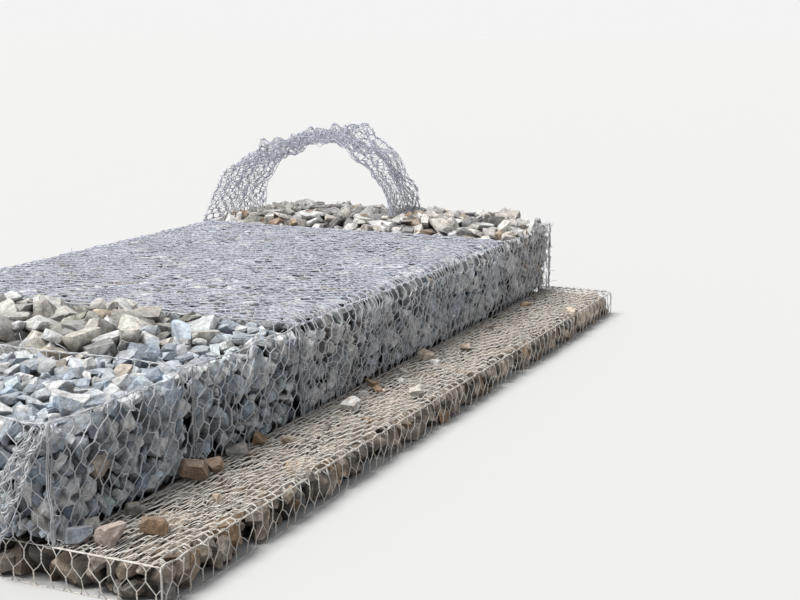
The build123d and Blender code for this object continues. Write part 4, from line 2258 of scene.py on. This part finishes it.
@dataclass
class GabionWall:
    """The whole wall: six bays on three mattress units.

    Attributes:
        states: how far each bay has come, from the near end.
        shears: how far the front nets of open bays are pulled along the wall.
        far_shear: the same for each bay beyond the third.
        near_painted_light, far_painted_light: painted light that makes the stones behind the face paler in the
            near bays, and how much more in the far ones.
        painted_light_reach: how deep behind the face it reaches.
        palest: limit of a colour's parts.
        corner_stray, stray: how far the wires of the near corner and of the others stray.
        units: number of mattress units.
        forms: stones that all fillings draw from.
    """

    states: tuple[BayState, ...] = (BayState.LOW, BayState.TIPPED, *3 * (BayState.LIDDED,), BayState.HEAPED)
    shears: dict[BayState, float] = field(default_factory=lambda: {BayState.LOW: 0.24, BayState.TIPPED: 0.12})
    far_shear: float = 0.03
    near_painted_light: float = 0.25
    far_painted_light: float = 0.45
    painted_light_reach: float = 0.12
    palest: float = 0.92
    corner_stray: float = 0.02
    stray: float = 0.008
    units: int = 3
    forms: StoneForms = field(default_factory=StoneForms)

    def bay(self, number: int) -> Bay:
        """One bay with the stones of its load.

        Args:
            number: its place in the row.

        Returns:
            The bay, not built yet.
        """
        state = self.states[number - 1]
        shear = self.shears.get(state, self.far_shear * (number - 3))
        coarser = self.tipped_size if state is BayState.TIPPED else None
        mix, grade = partial(self.shades, state), GRADES.get(state, MIDDLE_GRADE)
        return Bay(number, state, mix, grade, self.forms, len(self.states), coarser, shear=shear)

    @staticmethod
    def tipped_share(places: Array) -> Array:
        """How much of the coarse pale load lies over the fine stones, more to the back."""
        back = np.clip((places[:, 1] + 0.75) / 0.5, 0, 1)
        return back * np.clip((places[:, 2] - 0.5) / 0.06, 0, 1)

    def tipped_size(self, places: Array) -> Array:
        """How much larger stones are where the coarse load lies."""
        return 0.95 + 0.72 * self.tipped_share(places)

    def shades(self, state: BayState, rng: np.random.Generator, places: Array) -> Array:
        """Colours of a bay's stones.

        A pale load was tipped over grey stones. The stones behind the face of the closed and heaped
        bays are made paler as painted light on the face, more of it in the far bays.

        Args:
            state: how far the bay's building has come.
            rng: random numbers.
            places: middles of the stones.

        Returns:
            One row per stone.
        """
        count = len(places)
        if state is BayState.TIPPED:
            pale, grey = PALE_DUSTY.pick(rng, count), BLUE_GREY.pick(rng, count)
            share = self.tipped_share(places) + rng.normal(0, 0.2, count)
            return np.where((share > 0.5)[:, None], pale, grey)
        shades = MIXES[state].pick(rng, count)
        if state is BayState.LOW:
            return shades
        # Painted light: stones just behind the face are made paler, more so in the far bays, standing in for the
        # light on the face.
        behind = places[:, 1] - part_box("front_net_bay_1")[0].y
        far = np.clip((places[:, 0] + 1) / 3, 0, 1)
        face_painted_light = (self.near_painted_light + self.far_painted_light * far) * np.exp(-((behind / self.painted_light_reach) ** 2))
        return np.clip(shades * (1 + face_painted_light[:, None]), 0, self.palest)

    def build(self) -> None:
        """Builds every piece of the wall."""
        self.forms.build()
        last = len(self.states)
        bays = [self.bay(number) for number in range(1, last + 1)]
        for bay in bays:
            bay.build()
        ArchedLid(f"lid_net_bay_{last}").build()
        for number, (one, other) in enumerate(zip(bays, bays[1:]), 1):
            covered = one.lidded and other.lidded
            CrossNet(f"partition_net_{number}", one.form, covered=covered, seed=90 + number).build()
        CrossNet("end_net_near", bays[0].form, -1, seed=97).build()
        CrossNet("end_net_far", bays[-1].form, 1, seed=98).build()
        for number in range(1, last + 2):
            CornerLacing(number, stray=self.corner_stray if number == 1 else self.stray).build()
        low, high = bays[0].form.low, bays[0].form.high
        GatheredFlap(np.array([low[0], low[1] + 0.02, high[2] - 0.02]), low + (-0.01, 0.27, -0.03)).build()
        self.build_apron(float(low[1]))

    def build_apron(self, wall_front: float) -> None:
        """Builds the apron and what lies on it.

        Args:
            wall_front: where the wall's face stands.
        """
        units = [MattressUnit(n, self.units, wall_front, self.forms) for n in range(1, self.units + 1)]
        for unit in units:
            unit.build()
        first, end = units[0].form, units[-1].form
        ToeStones(self.forms, first.low[0], end.high[0], first.low[1], wall_front, first.high[2]).build()


# Studio


@dataclass
class Studio:
    """Pale floor, soft light and the camera at the photograph's place.

    Attributes:
        focal_pixels, frame_width: focal length and the photograph's width, in pixels.
        camera_place: where the camera stands.
        heading: direction of view in plan, from +X towards +Y, in degrees.
        dip: how far it looks down, in degrees.
        backdrop: brightness of what the camera sees behind the floor.
        sky: strength of the even light from all round.
        sun: strength of the soft lamp.
        sun_heading: the way the lamp's light travels.
        sun_spread: how soft it is, in degrees.
        sun_colour, sky_colour: their colours.
        floor_seen, floor_lit: the floor's colour as it is seen, and as it throws light up.
        floor_reach: how far the floor runs.
    """

    focal_pixels: float = 1379
    frame_width: float = 800
    camera_place: tuple[float, float, float] = (-7.04, -4.33, 2.15)
    heading: float = 24.6
    dip: float = 11.2
    backdrop: float = 0.9
    sky: float = 0.48
    sun: float = 3.8
    sun_heading: tuple[float, float, float] = (0.38, -0.34, -1.0)
    sun_spread: float = 30
    sun_colour: Colour = (1.0, 0.985, 0.96)
    sky_colour: Colour = (0.92, 0.96, 1.0)
    floor_seen: Colour = (0.57, 0.57, 0.565)
    floor_lit: Colour = (0.3, 0.29, 0.28)
    floor_reach: float = 300.0

    def build(self) -> None:
        """Sets up all of the studio."""
        self.floor()
        self.light()
        self.camera()

    @staticmethod
    def show(shader: Shader, seen: bpy.types.Node, unseen: bpy.types.Node) -> None:
        """Shows one surface to rays from the camera, a mirror or glass, and another to the rest.

        Args:
            shader: the nodes to add to.
            seen, unseen: the two surfaces.
        """
        path, adding = shader.node("ShaderNodeLightPath"), {"operation": "ADD", "use_clamp": True}
        total = path.outputs["Is Camera Ray"]
        for name in ("Is Glossy Ray", "Is Transmission Ray"):
            total = shader.node("ShaderNodeMath", adding, total, path.outputs[name]).outputs[0]
        choice = shader.node("ShaderNodeMixShader", None, total, unseen.outputs[0], seen.outputs[0])
        output = next(node for node in shader.tree.nodes if node.type.startswith("OUTPUT"))
        shader.feed(output, "Surface", choice.outputs[0])

    def floor(self) -> None:
        """Lays the floor, which looks pale but throws little light up."""
        mesh = bpy.data.meshes.new("studio_floor")
        reach, level = self.floor_reach, -0.001
        corners = [(x * reach, y * reach, level) for x, y in ((-1, -1), (1, -1), (1, 1), (-1, 1))]
        mesh.from_pydata(corners, [], [(0, 1, 2, 3)])
        floor = bpy.data.objects.new("studio_floor", mesh)
        bpy.context.scene.collection.objects.link(floor)
        shader = Shader(bpy.data.materials.new("studio_floor"))
        shader.feed(shader.surface, "Base Color", (*self.floor_seen, 1))
        shader.feed(shader.surface, "Roughness", 0.9)
        self.show(shader, shader.surface, shader.node("ShaderNodeBsdfDiffuse", Color=(*self.floor_lit, 1)))
        mesh.materials.append(shader.owner)

    def light(self) -> None:
        """Lights the wall with an even sky and a soft sun from behind the wall."""
        bpy.context.scene.world = bpy.data.worlds.new("studio")
        shader = Shader(bpy.context.scene.world)
        shader.feed(shader.surface, "Color", (*self.sky_colour, 1))
        shader.feed(shader.surface, "Strength", self.sky)
        self.show(shader, shader.node("ShaderNodeBackground", Color=(*3 * (self.backdrop,), 1)), shader.surface)
        lamp = bpy.data.lights.new("soft_sun", "SUN")
        lamp.energy, lamp.angle, lamp.color = self.sun, math.radians(self.sun_spread), self.sun_colour
        sun = bpy.data.objects.new("soft_sun", lamp)
        sun.rotation_euler = Vector(self.sun_heading).to_track_quat("-Z", "Y").to_euler()
        bpy.context.scene.collection.objects.link(sun)

    def camera(self) -> None:
        """Places the camera."""
        lens = bpy.data.cameras.new("camera")
        lens.sensor_width, lens.clip_end = 36, 500
        lens.lens = self.focal_pixels / self.frame_width * lens.sensor_width
        camera = bpy.data.objects.new("camera", lens)
        heading, dip = math.radians(self.heading), math.radians(self.dip)
        level = math.cos(dip)
        view = Vector((level * math.cos(heading), level * math.sin(heading), -math.sin(dip)))
        camera.location = self.camera_place
        camera.rotation_euler = view.to_track_quat("-Z", "Y").to_euler()
        bpy.context.scene.collection.objects.link(camera)
        bpy.context.scene.camera = camera


def main() -> None:
    """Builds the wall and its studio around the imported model."""
    logging.basicConfig(level=logging.INFO, format="%(name)s %(message)s")
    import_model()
    bpy.context.scene.view_settings.view_transform = "Standard"
    Studio().build()
    GabionWall().build()


if __name__ == "__main__":
    main()
